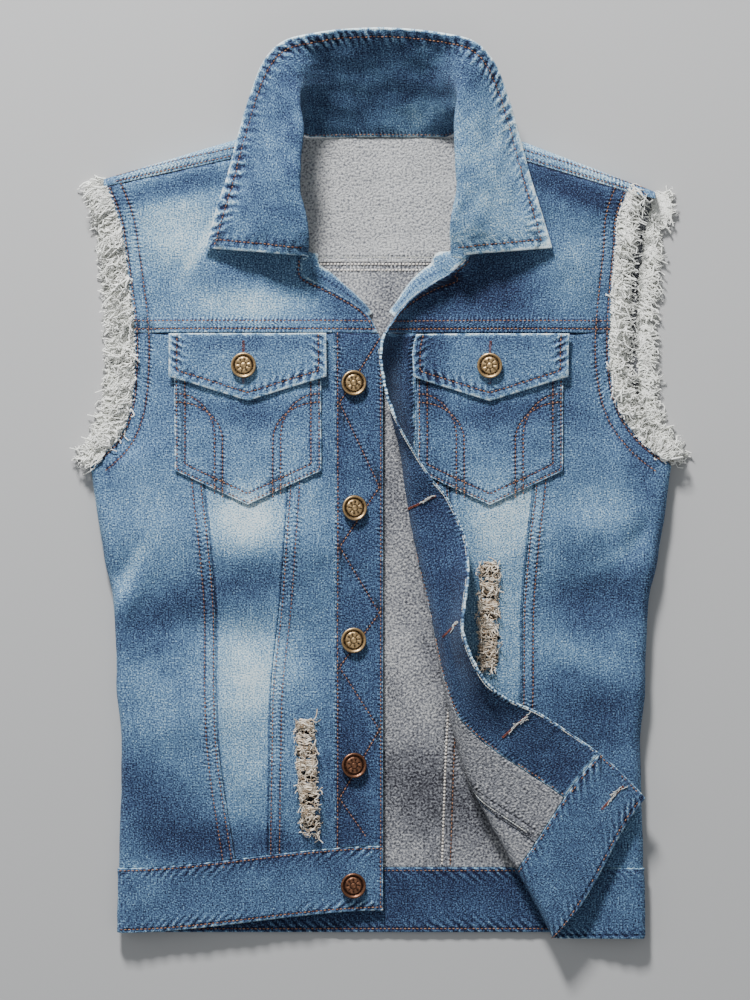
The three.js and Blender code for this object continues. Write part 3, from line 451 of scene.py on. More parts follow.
class CollarLay(Surface):
    """The collar, by its station from one tip to the other and the share from foot to outer edge."""

    def __init__(self) -> None:
        """Works out the feet and the lengths of each section."""
        self.feet = {side: self._feet(side) for side in FRONT}
        self.stations = np.linspace(-TIP, TIP, 2 * TIP * PER_STATION + 1)
        self.shares = np.linspace(0, 1, DEPTHS + 1)
        grid = self.at(*np.meshgrid(self.shares, self.stations))
        steps = np.linalg.norm(np.diff(grid, axis=1), axis=-1)
        self.depth = np.concatenate([np.zeros((len(grid), 1)), np.cumsum(steps, axis=1)], axis=1)
        steps = np.linalg.norm(np.diff(grid[:, 24], axis=0), axis=-1)
        self.length = np.concatenate([[0], np.cumsum(steps)])

    def _feet(self, side: str) -> Grid:
        """Finds where each row of the table stands."""
        y = np.array(COLLAR_FRONT_FEET)
        x = NECK_MIDDLE_X + (-1 if side == "left" else 1) * np.array(COLLAR_BACK_FEET)
        behind = np.where(np.array(COLLAR_BACK_FEET) > 60, 3, 0.8)
        front = FRONT[side].lifted(FrontLay.edge(y) - 2, y, 1.3)
        return np.concatenate([front, BACK.lifted(x, BACK.top(x) + behind, 1.3)])

    def at(self, a: Grid, y: Grid) -> Grid:
        """Places points on the collar's middle surface; a is the share and y the station."""
        share, station = np.broadcast_arrays(np.asarray(a, float), np.asarray(y, float))
        at = TIP - np.abs(station)
        low = np.clip(np.floor(at).astype(int), 0, TIP - 1)
        left = (station < 0)[..., None]
        t = (at - low)[..., None]
        feet = {side: mix(row[low], row[low + 1], t) for side, row in self.feet.items()}
        foot = np.where(left, feet["left"], feet["right"])
        sign = np.where(station < 0, -1, 1)
        top, out = (
            stack(NECK_MIDDLE_X + sign * COLLAR(at, part + "X"), COLLAR(at, part + "Y"), COLLAR(at, part + "Z"))
            for part in ("roll", "out")
        )
        flat = smooth((at - 4.6) / 2)[..., None]
        over = out - top
        level = over * np.array([1, 1, 0])
        level = unit(level) * np.linalg.norm(over, axis=-1, keepdims=True) * 0.8
        top_way = mix(level, (out - foot) * 0.5, flat)
        foot_way = mix(np.array([0, 0, 34.0]), top - foot, flat)
        share = share[..., None]
        lower = self._curve(foot, foot_way, top, top_way * 0.8, share / 0.45)
        upper = self._curve(top, top_way, out, over * 1.1, (share - 0.45) / 0.55)
        return np.where(share < 0.45, lower, upper)

    @staticmethod
    def _curve(start: Grid, leave: Grid, end: Grid, arrive: Grid, t: Grid) -> Grid:
        """Draws a smooth curve between two points."""
        return (
            start * (2 * t**3 - 3 * t**2 + 1)
            + leave * (t**3 - 2 * t**2 + t)
            + end * (3 * t**2 - 2 * t**3)
            + arrive * (t**3 - t**2)
        )

    def normal(self, a: Grid, y: Grid) -> Grid:
        """Finds the way out of the collar's upper face."""
        station, share = np.clip(y, -8.98, 8.98), np.clip(a, 0.02, 0.98)
        way = self.at(share + 0.02, station) - self.at(share - 0.02, station)
        side = self.at(share, station + 0.02) - self.at(share, station - 0.02)
        return unit(np.cross(side, way)) * self.outward

    def measure(self, a: Grid, y: Grid) -> Grid:
        """Gives the place in the cut cloth: the length along and the depth from the foot."""
        a, y = np.broadcast_arrays(np.asarray(a, float), np.asarray(y, float))
        rows = len(self.stations) - 1
        row = np.clip((y + TIP) * PER_STATION, 0, rows)
        column = np.clip(a * DEPTHS, 0, DEPTHS)
        i, j = np.minimum(row.astype(int), rows - 1), np.minimum(column.astype(int), DEPTHS - 1)
        r, c = row - i, column - j
        here = mix(self.depth[i, j], self.depth[i, j + 1], c)
        depth = mix(here, mix(self.depth[i + 1, j], self.depth[i + 1, j + 1], c), r)
        return np.stack([np.interp(y, self.stations, self.length), depth], axis=-1)


COLLAR_LAY = CollarLay()


@dataclass(frozen=True)
class SewnRow:
    """A row of stitches in a piece's flat measures, and how it draws the cloth in.

    Attributes:
        points: The row's line, as places across and along.
        pucker: Height of the slow puckers beside the row.
        wave: Length of the fine ropes across the row.
        lean: How far the ropes slant.
        reach: How far the ropes spread from the row.
        groove: Depth of the row itself; where it is over zero, the row also gets a painted shade line.
        draw: Strength of the ropes.
        thread: The finish of the thread, by name.
        shown: Whether the thread itself shows.
        inner: Whether the thread shows on the inner face.
    """

    points: Grid
    pucker: float = 0.3
    wave: float = 3.4
    lean: float = 0.25
    reach: float = 3.0
    groove: float = 0.3
    draw: float = 0.7
    thread: str = "tan"
    shown: bool = True
    inner: bool = False

    def near(self, x: Grid, y: Grid) -> tuple[Grid, Grid]:
        """Measures from places to the row.

        Args:
            x: Places across.
            y: Places along.

        Returns:
            The signed distance to the row and the length along it.
        """
        start, end = self.points[:-1], self.points[1:]
        way = end - start
        length = np.linalg.norm(way, axis=1)
        before = np.concatenate([[0], np.cumsum(length)[:-1]])
        best = np.full(x.shape, 1e9)
        along, sign = np.zeros(x.shape), np.ones(x.shape)
        for (sx, sy), (wx, wy), size, first in zip(start, way, length, before):
            if size < 1e-6:
                continue
            t = np.clip(((x - sx) * wx + (y - sy) * wy) / size**2, 0, 1)
            dx, dy = x - sx - t * wx, y - sy - t * wy
            distance = np.hypot(dx, dy)
            closer = distance < best
            best = np.where(closer, distance, best)
            along = np.where(closer, first + t * size, along)
            sign = np.where(closer, np.sign(wx * dy - wy * dx), sign)
        return best * sign, along


@dataclass
class Relief:
    """Low relief of one piece: seams' grooves and puckers, and slight unevenness."""

    rows: list[SewnRow] = field(default_factory=list)
    seed: int = 1
    uneven: float = 0.35
    wave: float = 34.0

    def __call__(self, x: Grid, y: Grid) -> tuple[Grid, Grid]:
        """Works out the relief.

        Args:
            x: Places across.
            y: Places along.

        Returns:
            The height, and at each place the ropes of the nearest row: their cycle, the distance to it for the painted
            shade line of a sunk row, and the strength.
        """
        fine = 0.35 * ripple(x, y, self.wave / 3.2, self.seed + 3)
        height = self.uneven * (ripple(x, y, self.wave, self.seed) + fine)
        nearest = np.full(x.shape, 1e3)
        seam = np.stack([np.zeros(x.shape), nearest, np.zeros(x.shape)], -1)
        for row in self.rows:
            away, along = row.near(x, y)
            slow = 0.8 * np.sin(along / 17 + 1) + 1.1 * np.sin(along / 41 + 2.3)
            wave = np.cos(math.tau * (along + 0.8 * away) / 12 + slow) * np.exp(-((away / 6) ** 2))
            groove = row.groove * np.exp(-((away / 0.9) ** 2))
            height = height + row.pucker * wave - groove
            strength = row.draw * np.exp(-((away / row.reach) ** 2)) * (0.75 + 0.35 * np.sin(along / 23 + row.wave))
            cycle = (along + row.lean * away) / row.wave + slow * min(0.4, row.wave / 16)
            # The distance to a sunk row sets the painted shade line along it.
            shade_distance = np.where(row.groove > 0, np.abs(away), 9.0)
            closer = np.abs(away) < nearest
            nearest = np.where(closer, np.abs(away), nearest)
            seam = np.where(closer[..., None], np.stack([cycle, shade_distance, strength], -1), seam)
        return height, seam


@dataclass(frozen=True)
class WashAndShade:
    """How washing and wear have faded the dye, together with painted shade and painted light: a base shade and soft
    patches.

    Attributes:
        base: The usual shade, from 0, dark, to 1, white.
        patches: Rows of place x and y, half lengths long and short, lie in degrees, and shade added; besides faded and
            darker dye, some dark patches are painted shade and shadow, and some thin pale ones are painted highlights.
        cloudy: How strong the cloudiness is.
        seed: Picks the cloudiness.
    """

    base: float
    patches: tuple[tuple[float, ...], ...] = ()
    cloudy: float = 0.03
    seed: int = 4

    def __call__(self, x: Grid, y: Grid) -> Grid:
        """Gives the shade at each place."""
        shade = self.base + self.cloudy * ripple(x, y, 38, self.seed)
        shade = shade + 0.6 * self.cloudy * ripple(x, y, 13, self.seed + 9)
        for px, py, long, short, lie, added in self.patches:
            c, s = math.cos(math.radians(lie)), math.sin(math.radians(lie))
            p = ((x - px) * c + (y - py) * s) / long
            q = ((y - py) * c - (x - px) * s) / short
            # Each patch adds its own shade: faded dye, painted shade and shadow, painted highlight.
            shade = shade + added * np.exp(-((p * p + q * q) ** 1.4))
        return shade


def span(length: float, pitch: float, low_band: float = 0.0, high_band: float = 0.0) -> Grid:
    """Spaces stations across a piece, finer at its edges and at the edges of its bands.

    Args:
        length: The piece's usual length.
        pitch: The usual spacing.
        low_band: Width of a band at the low edge.
        high_band: Width of a band at the high edge.

    Returns:
        Rows of the share of the length and the offset that is added to it.
    """

    def edge(band: float) -> list[float]:
        """Spaces the stations of one edge."""
        if band < 3:
            return [0, 0.35, 1.0]
        inside = np.linspace(1.0, band - 0.45, max(2, round((band - 1.45) / pitch) + 1))
        return [0, 0.35, *inside, band + 0.35]

    low, high = edge(low_band), edge(high_band)
    count = max(2, round((length - low[-1] - high[-1]) / pitch))
    shares = np.arange(1, count) / count
    middle = [(s, low[-1] * (1 - s) - high[-1] * s) for s in shares]
    return np.array([(0, d) for d in low] + middle + [(1, -d) for d in reversed(high)])


@dataclass(frozen=True)
class Cut:
    """A piece's grid in flat measures, and the distance of each place from the piece's edge."""

    a: Grid
    y: Grid
    edge: Grid

    @staticmethod
    def of(across: Grid, along: Grid, place: Callable[..., tuple[Grid, Grid, Grid, Grid]]) -> "Cut":
        """Lays the stations out.

        Args:
            across: Stations across, as shares and offsets.
            along: Stations along, as shares and offsets.
            place: Gives a, y, the width and the height for a grid of stations.

        Returns:
            The cut.
        """
        (us, uo), (vs, vo) = across.T, along.T
        grid = [g.T for g in np.meshgrid(vs, us)], [g.T for g in np.meshgrid(vo, uo)]
        v_share, u_share = grid[0]
        v_off, u_off = grid[1]
        a, y, width, height = place(u_share, u_off, v_share, v_off)
        u = u_share * width + u_off
        v = v_share * height + v_off
        edge = np.minimum(np.minimum(u, width - u), np.minimum(v, height - v))
        return Cut(a, y, np.maximum(edge, 0))


@dataclass
class ClothPiece:
    """One cut piece of cloth between its two faces.

    Attributes:
        node: The solid that it stands for.
        surface: The surface that it lies on.
        cut: Its grid.
        thick: Its thickness.
        low: Height of its low face over the surface.
        relief: Its seams' relief.
        wash: Its shade: faded dye, with painted shade and painted light.
        raised: Extra height over a place, such as a felled seam.
        skins: Finishes of the high and the low face.
        slot: The record's material slot; not used.
        rests_on: What it lies on; not used.
        torn: Places that are left out.
        edge_wear: How white its edges have worn.
        edge_width: How far that wear reaches in.
    """

    node: str
    surface: Surface
    cut: Cut
    thick: float = CLOTH
    low: float = 0.0
    relief: Relief = field(default_factory=Relief)
    wash: WashAndShade = WashAndShade(0.5)
    raised: Place = lambda a, y: 0.0
    skins: tuple[str, str] = ("denim", "wrong_side")
    slot: str = "denim"
    rests_on: tuple[str, ...] = ("back_centre",)
    torn: Callable[[Grid, Grid], Grid] | None = None
    edge_wear: float = 0.5
    edge_width: float = 0.9

    def skin(self, a: Grid, y: Grid, inner: bool = False) -> Grid:
        """Gives the height of a face over the surface, for threads that lie on it.

        Args:
            a: Places across.
            y: Places along.
            inner: Whether the low face is meant.

        Returns:
            Heights along the normal.
        """
        height, _ = self._relief(a, y)
        if inner:
            return self.low - 0.7 * height
        return self.low + self.thick + self.raised(a, y) + height

    def _relief(self, a: Grid, y: Grid) -> tuple[Grid, Grid]:
        """Works out the relief in the cloth's own measure."""
        place = self.surface.measure(a, y)
        return self.relief(place[..., 0], place[..., 1])

    def build(self) -> bpy.types.Object:
        """Returns:
            The finished object.
        """
        a, y, edge = self.cut.a, self.cut.y, self.cut.edge
        height, seam = self._relief(a, y)
        rounding = np.interp(edge, [0, 0.35, 1.0], [0.45, 0.85, 1.0])
        full = self.thick + self.raised(a, y)
        middle = self.low + full / 2
        high = middle + full / 2 * rounding + height
        follow = 0.7 * height if self.node.endswith("right") else 0.6 * np.minimum(height, 0)
        low = middle - full / 2 * rounding + follow
        points_high = self.surface.lifted(a, y, high)
        points_low = self.surface.lifted(a, y, low)
        keep = np.ones((a.shape[0] - 1, a.shape[1] - 1), dtype=bool)
        if self.torn is not None:
            centre = [(g[1:, 1:] + g[:-1, :-1]) / 2 for g in (a, y)]
            keep = ~self.torn(*centre)
        x, v = self.surface.wash_place(a, y)
        rough = ripple(x, v, 7, self.relief.seed + 50)
        wear = self.edge_wear * np.exp(-((edge / self.edge_width) ** 2)) * np.clip(0.8 + 0.6 * rough, 0.1, 1.6)
        measure = self.surface.measure(a, y)
        # The first attribute holds faded dye with painted shade and painted highlights; wear whitens the worn edges.
        shades = {"fade": self.wash(x, v), "wear": wear}
        shades.update({name: seam[..., i] for i, name in enumerate(("rope", "trench", "draw"))})
        skins = [FINISHES[name].material() for name in self.skins]
        piece = WallMesh(self.node + "_cloth", points_low, points_high, keep).make(shades, measure, skins)
        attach(piece, "root")
        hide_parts(self.node)
        return piece


@dataclass
class WallMesh:
    """A closed wall between two faces of one grid, with cells left out where the cloth is gone."""

    name: str
    low: Grid
    high: Grid
    keep: Grid

    def make(self, shades: dict[str, Grid], measure: Grid, skins: list[bpy.types.Material]) -> bpy.types.Object:
        """Makes the mesh.

        Args:
            shades: Attributes of the grid by name.
            measure: Places in the cut cloth, for the weave.
            skins: Materials of the high and low face.

        Returns:
            The object.
        """
        rows, columns = self.keep.shape
        high = np.arange((rows + 1) * (columns + 1)).reshape(rows + 1, columns + 1)
        low = high + high.size
        cells = [high[:-1, :-1], high[:-1, 1:], high[1:, 1:], high[1:, :-1]]
        top = np.stack(cells, -1)[self.keep]
        kept = np.pad(self.keep, 1)
        rims = []

        def rim(first: Grid, second: Grid, where: Grid) -> None:
            """Adds side walls along an edge that runs from first to second on the high face."""
            pairs = np.stack([first, second], -1)[where]
            rims.append(np.stack([pairs[:, 1], pairs[:, 0], pairs[:, 0] + high.size, pairs[:, 1] + high.size], -1))

        under, over = kept[:-1, 1:-1], kept[1:, 1:-1]
        rim(high[:, :-1], high[:, 1:], over & ~under)
        rim(high[:, 1:], high[:, :-1], under & ~over)
        before, after = kept[1:-1, :-1], kept[1:-1, 1:]
        rim(high[1:, :], high[:-1, :], after & ~before)
        rim(high[:-1, :], high[1:, :], before & ~after)
        faces = np.concatenate([top, (top + high.size)[:, ::-1], *rims])
        points = np.concatenate([self.high.reshape(-1, 3), self.low.reshape(-1, 3)]) * MM
        corners = points[faces]
        volume = np.einsum("ij,ij->i", corners[:, 0], np.cross(corners[:, 1], corners[:, 2])).sum()
        volume += np.einsum("ij,ij->i", corners[:, 0], np.cross(corners[:, 2], corners[:, 3])).sum()
        if volume < 0:
            faces = faces[:, ::-1]
        used, faces = np.unique(faces, return_inverse=True)
        faces = faces.reshape(-1, 4)
        mesh = bpy.data.meshes.new(self.name)
        mesh.from_pydata(points[used], [], faces.tolist())
        for name, values in shades.items():
            flat = np.concatenate([values.ravel(), values.ravel()])[used]
            mesh.attributes.new(name, "FLOAT", "POINT").data.foreach_set("value", flat.astype(np.float32))
        flat = np.concatenate([measure.reshape(-1, 2)] * 2)[used] * MM
        layer = mesh.uv_layers.new(name="weave")
        layer.data.foreach_set("uv", flat[faces.ravel()].astype(np.float32).ravel())
        for skin in skins:
            mesh.materials.append(skin)
        index = np.zeros(len(faces), dtype=np.int32)
        index[len(top): 2 * len(top)] = 1
        mesh.polygons.foreach_set("material_index", index)
        mesh.polygons.foreach_set("use_smooth", np.ones(len(faces), dtype=bool))
        mesh.update()
        piece = bpy.data.objects.new(self.name, mesh)
        bpy.context.collection.objects.link(piece)
        return piece


def linear(colour: tuple[float, float, float]) -> tuple[float, float, float, float]:
    """Turns a display colour of 0 to 255 into scene light."""
    parts = [c / 255 for c in colour]
    return tuple(p / 12.92 if p <= 0.04045 else ((p + 0.055) / 1.055) ** 2.4 for p in parts) + (1.0,)


class Nodes:
    """Adds nodes to a tree, with values or links for their inputs."""

    def __init__(self, tree: bpy.types.NodeTree) -> None:
        """Keeps the tree."""
        self.tree = tree

    def add(
        self, kind: str, inputs: dict | None = None, out: int | str = 0, **settings: object
    ) -> bpy.types.NodeSocket:
        """Adds a node.

        Args:
            kind: The node's type.
            inputs: Values or sockets by input name or number.
            out: The output to give back.
            settings: The node's own settings.

        Returns:
            One of the node's outputs.
        """
        node = self.tree.nodes.new(kind)
        for name, value in settings.items():
            setattr(node, name, value)
        for key, value in (inputs or {}).items():
            if isinstance(value, bpy.types.NodeSocket):
                self.tree.links.new(value, node.inputs[key])
            else:
                node.inputs[key].default_value = value
        return node.outputs[out] if len(node.outputs) else None

    def math(self, operation: str, first: object, second: object = 0.0, third: object = 0.0) -> bpy.types.NodeSocket:
        """Adds a sum, product or the like of numbers."""
        kind = "ShaderNodeMath"
        return self.add(kind, {0: first, 1: second, 2: third}, operation=operation)

    def noise(self, place: object, scale: float, detail: float = 2.0) -> bpy.types.NodeSocket:
        """Adds a noise around zero."""
        value = self.add("ShaderNodeTexNoise", {"Vector": place, "Scale": scale, "Detail": detail}, out=0)
        return self.math("SUBTRACT", value, 0.5)

    def ramp(self, value: object, shades: tuple) -> bpy.types.NodeSocket:
        """Adds a ramp of display colours, given as places and colours."""
        node = self.tree.nodes.new("ShaderNodeValToRGB")
        self.tree.links.new(value, node.inputs[0])
        elements = node.color_ramp.elements
        for i, (at, colour) in enumerate(shades):
            element = elements[i] if i < 2 else elements.new(at)
            element.position, element.color = at, linear(colour)
        return node.outputs[0]


class Finish:
    """A material that is made once and then shared."""

    name: str

    def inputs(self, n: Nodes) -> dict[str, object]:
        """Adds the nodes that feed the surface and gives its inputs."""
        raise NotImplementedError

    def material(self) -> bpy.types.Material:
        """Makes the material, or gives the one made before.

        Returns:
            The material.
        """
        made = bpy.data.materials.get(self.name)
        if made:
            return made
        material = bpy.data.materials.new(self.name)
        material.use_nodes = True
        material.node_tree.nodes.clear()
        n = Nodes(material.node_tree)
        shader = n.add("ShaderNodeBsdfPrincipled", self.inputs(n))
        n.add("ShaderNodeOutputMaterial", {"Surface": shader})
        return material


@dataclass(frozen=True)
class Weave(Finish):
    """A woven cloth whose dye fades: its shades, weave and roughness.

    Attributes:
        name: The material's name.
        shades: Places on the scale of shades and the display colour there.
        grain: Strength of the salt and pepper of the yarns.
        streak: Strength of the streaks along the warp.
        twill: Depth of the weave.
        wear: How much wear whitens.
        rope: How strongly the ropes along the seams have faded.
        roughness: The surface's roughness.
        depth: Depth of the surface's fine relief.
        fine: How close the grain is, in grains to the millimetre.
    """

    name: str
    shades: tuple[tuple[float, tuple[int, int, int]], ...]
    grain: float = 1.8
    streak: float = 0.4
    twill: float = 0.9
    wear: float = 0.46
    rope: float = 0.36
    roughness: float = 0.88
    depth: float = 0.0005
    fine: float = 0.8

    def inputs(self, n: Nodes) -> dict[str, object]:
        """Adds the nodes that feed the surface and gives its inputs."""
        weave = n.add("ShaderNodeUVMap", uv_map="weave")
        place = n.add("ShaderNodeVectorMath", {0: weave, "Scale": 1000.0}, operation="SCALE")
        warp = n.add("ShaderNodeMapping", {"Vector": place, "Scale": (1.0, 0.07, 1.0)})
        weft = n.add("ShaderNodeMapping", {"Vector": place, "Scale": (0.12, 1.0, 1.0)})
        # The first attribute holds faded dye with painted shade and painted light; the last is the distance to a sunk
        # row, for its painted shade line.
        fade, wear, rope, draw, trench = (
            n.add("ShaderNodeAttribute", out="Fac", attribute_name=name)
            for name in ("fade", "wear", "rope", "draw", "trench")
        )
        wave = n.math("SINE", n.math("MULTIPLY_ADD", rope, math.tau, n.math("MULTIPLY", n.noise(place, 0.22), 5.0)))
        uneven = n.math("MULTIPLY_ADD", n.noise(place, 0.11), 2.4, 0.9)
        wave = n.math("MULTIPLY", wave, n.math("MULTIPLY", draw, uneven))
        # near is painted shade: a dark line along each sunk row of stitches, where its groove would lie in shadow.
        near = n.math("EXPONENT", n.math("MULTIPLY", trench, n.math("MULTIPLY", trench, -1.0)))
        grain = n.noise(place, self.fine, 3.0)
        streak = n.math("ADD", n.noise(warp, 0.9, 2.0), n.math("MULTIPLY", n.noise(weft, 0.8), 0.4))
        cloud = n.noise(place, 0.07, 4.0)
        value = fade
        parts = (wear, grain, streak, cloud, wave, near)
        for part, strength in zip(parts, (self.wear, self.grain, self.streak, 0.14, self.rope, -0.4)):
            value = n.math("MULTIPLY_ADD", part, strength, value)
        ramp = n.ramp(value, self.shades)
        split = n.add("ShaderNodeSeparateXYZ", {0: place}).node
        diagonal = n.math("MULTIPLY_ADD", split.outputs[1], 0.75, split.outputs[0])
        twill = n.math("SINE", n.math("MULTIPLY", diagonal, math.tau / 0.95))
        height = n.math("MULTIPLY_ADD", grain, 2.2, n.math("MULTIPLY", twill, 0.3))
        height = n.math("MULTIPLY_ADD", wave, 1.6, n.math("MULTIPLY_ADD", near, -1.5, height))
        bump = n.add("ShaderNodeBump", {"Strength": self.twill, "Distance": self.depth, "Height": height})
        return {
            "Base Color": ramp, "Normal": bump, "Roughness": self.roughness,
            "Specular IOR Level": 0.14, "Sheen Weight": 0.05, "Sheen Roughness": 0.5,
        }


@dataclass(frozen=True)
class Yarn(Finish):
    """Sewing thread or loose yarn: two colours that mix from thread to thread."""

    name: str
    first: tuple[int, int, int]
    second: tuple[int, int, int]
    scale: float = 400.0
    sheen: float = 0.0

    def inputs(self, n: Nodes) -> dict[str, object]:
        """Adds the nodes that feed the surface and gives its inputs."""
        place = n.add("ShaderNodeTexCoord", out="Object")
        value = n.math("MULTIPLY_ADD", n.noise(place, self.scale, 1.0), 2.4, 0.5)
        ramp = n.ramp(value, tuple(enumerate((self.first, self.second))))
        twist = n.noise(place, 2600.0, 1.0)
        bump = n.add("ShaderNodeBump", {"Strength": 0.4, "Distance": 0.0002, "Height": twist})
        return {
            "Base Color": ramp, "Normal": bump, "Roughness": 0.85, "Specular IOR Level": 0.25,
            "Sheen Weight": self.sheen, "Sheen Roughness": 0.4,
        }


@dataclass(frozen=True)
class AgedBrass(Finish):
    """Brass that has dulled in its recesses and on its back."""

    name: str
    bright: tuple[int, int, int] = (244, 204, 148)
    dull: tuple[int, int, int] = (26, 17, 12)

    def inputs(self, n: Nodes) -> dict[str, object]:
        """Adds the nodes that feed the surface and gives its inputs."""
        place = n.add("ShaderNodeTexCoord", out="Object")
        recess = n.add("ShaderNodeAttribute", out="Fac", attribute_name="recess")
        spots = n.noise(place, 900.0, 4.0)
        share = n.math("MULTIPLY_ADD", spots, 1.3, n.math("MULTIPLY_ADD", recess, 0.85, 0.2))
        ramp = n.ramp(share, tuple(enumerate((self.bright, self.dull))))
        rough = n.math("MULTIPLY_ADD", share, 0.3, 0.25)
        bump = n.add("ShaderNodeBump", {"Strength": 0.25, "Distance": 0.0002, "Height": spots})
        return {"Base Color": ramp, "Metallic": 0.92, "Roughness": rough, "Normal": bump}


INDIGO = (
    (0.0, (24, 29, 54)), (0.22, (52, 67, 101)), (0.48, (88, 119, 153)), (0.7, (128, 168, 202)),
    (0.88, (184, 217, 232)), (1.0, (228, 243, 248)),
)
FLEECE = ((0.0, (56, 56, 66)), (0.5, (150, 152, 160)), (1.0, (244, 244, 243)))
FINISHES: dict[str, Finish] = {
    "denim": Weave("worn_denim", INDIGO),
    "wrong_side": Weave(
        "denim_wrong_side", FLEECE, grain=2.4, streak=0.12, wear=0.18, rope=0.2, roughness=0.95, depth=0.0011,
        fine=0.55,
    ),
    "tan": Yarn("tan_sewing_thread", (96, 56, 46), (186, 140, 108)),
    "cord": Yarn("overlock_thread", (186, 176, 166), (252, 247, 238), 700.0),
    "pale": Yarn("pale_sewing_thread", (176, 182, 184), (222, 220, 208)),
    "rust": Yarn("rust_sewing_thread", (92, 46, 36), (158, 88, 60)),
    "raw": Yarn("raw_cotton_yarn", (242, 243, 235), (255, 255, 250), 160.0, sheen=1.0),
    "weft": Yarn("loose_weft_yarn", (204, 180, 152), (255, 248, 234), 240.0),
    "brass": AgedBrass("aged_brass_metal"),
    "copper": AgedBrass("aged_copper_metal", (160, 112, 84), (40, 26, 24)),
}


class LineTree:
    """A Geometry Nodes tree that turns lines into a mesh, with named inputs."""

    name = "Line"
    sizes: dict[str, float] = {}

    def __init__(self) -> None:
        """Builds the tree's sockets and nodes."""
        self.tree = bpy.data.node_groups.new(self.name, "GeometryNodeTree")
        face = self.tree.interface
        face.new_socket(name="Geometry", in_out="INPUT", socket_type="NodeSocketGeometry")
        face.new_socket(name="Geometry", in_out="OUTPUT", socket_type="NodeSocketGeometry")
        self.keys = {}
        for label, value in self.sizes.items():
            kind = "NodeSocketInt" if isinstance(value, int) else "NodeSocketFloat"
            socket = face.new_socket(name=label, in_out="INPUT", socket_type=kind)
            socket.default_value = value
            self.keys[label] = socket.identifier
        socket = face.new_socket(name="Material", in_out="INPUT", socket_type="NodeSocketMaterial")
        self.keys["Material"] = socket.identifier
        n = Nodes(self.tree)
        source = self.tree.nodes.new("NodeGroupInput")
        curve = n.add("GeometryNodeMeshToCurve", {"Mesh": source.outputs["Geometry"]})
        made = self.fill(n, curve, source.outputs)
        real = n.add("GeometryNodeRealizeInstances", {0: made})
        dressed = n.add("GeometryNodeSetMaterial", {"Geometry": real, "Material": source.outputs["Material"]})
        sink = self.tree.nodes.new("NodeGroupOutput")
        self.tree.links.new(dressed, sink.inputs[0])

    def fill(self, n: Nodes, curve: bpy.types.NodeSocket, sizes: object) -> bpy.types.NodeSocket:
        """Adds the nodes between the line and the finished shape."""
        raise NotImplementedError

    def make(
        self, name: str, lines: list[Grid], finish: str, values: dict[str, float], ways: list[Grid] | None = None
    ) -> bpy.types.Object:
        """Runs the tree on lines and keeps the result as a plain mesh.

        Args:
            name: The piece's name.
            lines: Lines as points in millimetres.
            finish: The finish by name.
            values: The tree's inputs by label.
            ways: A direction for each point of each line, for trees that use it.

        Returns:
            The object.
        """
        sizes = [len(line) for line in lines]
        starts = np.concatenate([[0], np.cumsum(sizes)[:-1]])
        edges = np.concatenate([np.stack([np.arange(s - 1), np.arange(1, s)], -1) + o for s, o in zip(sizes, starts)])
        mesh = bpy.data.meshes.new(name)
        mesh.from_pydata((np.concatenate(lines) * MM).tolist(), edges.tolist(), [])
        if ways is not None:
            flat = np.concatenate(ways).astype(np.float32).ravel()
            mesh.attributes.new("outward", "FLOAT_VECTOR", "POINT").data.foreach_set("vector", flat)
        piece = bpy.data.objects.new(name, mesh)
        bpy.context.collection.objects.link(piece)
        modifier = piece.modifiers.new(self.name, "NODES")
        modifier.node_group = self.tree
        for label, value in values.items():
            modifier[self.keys[label]] = value
        modifier[self.keys["Material"]] = FINISHES[finish].material()
        evaluated = piece.evaluated_get(bpy.context.evaluated_depsgraph_get())
        result = bpy.data.meshes.new_from_object(evaluated)
        piece.modifiers.remove(modifier)
        piece.data = result
        result.name = name
        bpy.data.meshes.remove(mesh)
        result.polygons.foreach_set("use_smooth", np.ones(len(result.polygons), dtype=bool))
        log.info("%s: %d faces", name, len(result.polygons))
        return piece


class StitchTree(LineTree):
    """Lays a stitch at every step along a line."""

    name = "Stitches"
    sizes = {"Pitch": 0.0031, "Length": 0.0025, "Thickness": 0.00085}

    def fill(self, n: Nodes, curve: bpy.types.NodeSocket, sizes: object) -> bpy.types.NodeSocket:
        """Sets small rounded stitches along the line."""
        points = n.add("GeometryNodeCurveToPoints", {"Curve": curve, "Length": sizes["Pitch"]}, mode="LENGTH").node
        turn = n.add("FunctionNodeAlignRotationToVector", {"Vector": points.outputs["Tangent"]}, axis="Z")
        shape = n.add("GeometryNodeMeshUVSphere", {"Segments": 5, "Rings": 3, "Radius": 0.5})
        size = n.add("ShaderNodeCombineXYZ", {0: sizes["Thickness"], 1: sizes["Thickness"], 2: sizes["Length"]})
        stitch = n.add("GeometryNodeTransform", {"Geometry": shape, "Scale": size})
        inputs = {"Points": points.outputs["Points"], "Instance": stitch, "Rotation": turn}
        return n.add("GeometryNodeInstanceOnPoints", inputs)


class CordTree(LineTree):
    """Gives lines a round body."""

    name = "Cords"
    sizes = {"Thickness": 0.0006, "Sides": 4}

    def fill(self, n: Nodes, curve: bpy.types.NodeSocket, sizes: object) -> bpy.types.NodeSocket:
        """Sweeps a small circle along the lines."""
        radius = n.math("MULTIPLY", sizes["Thickness"], 0.5)
        ring = n.add("GeometryNodeCurvePrimitiveCircle", {"Resolution": sizes["Sides"], "Radius": radius})
        return n.add("GeometryNodeCurveToMesh", {"Curve": curve, "Profile Curve": ring, "Fill Caps": True})


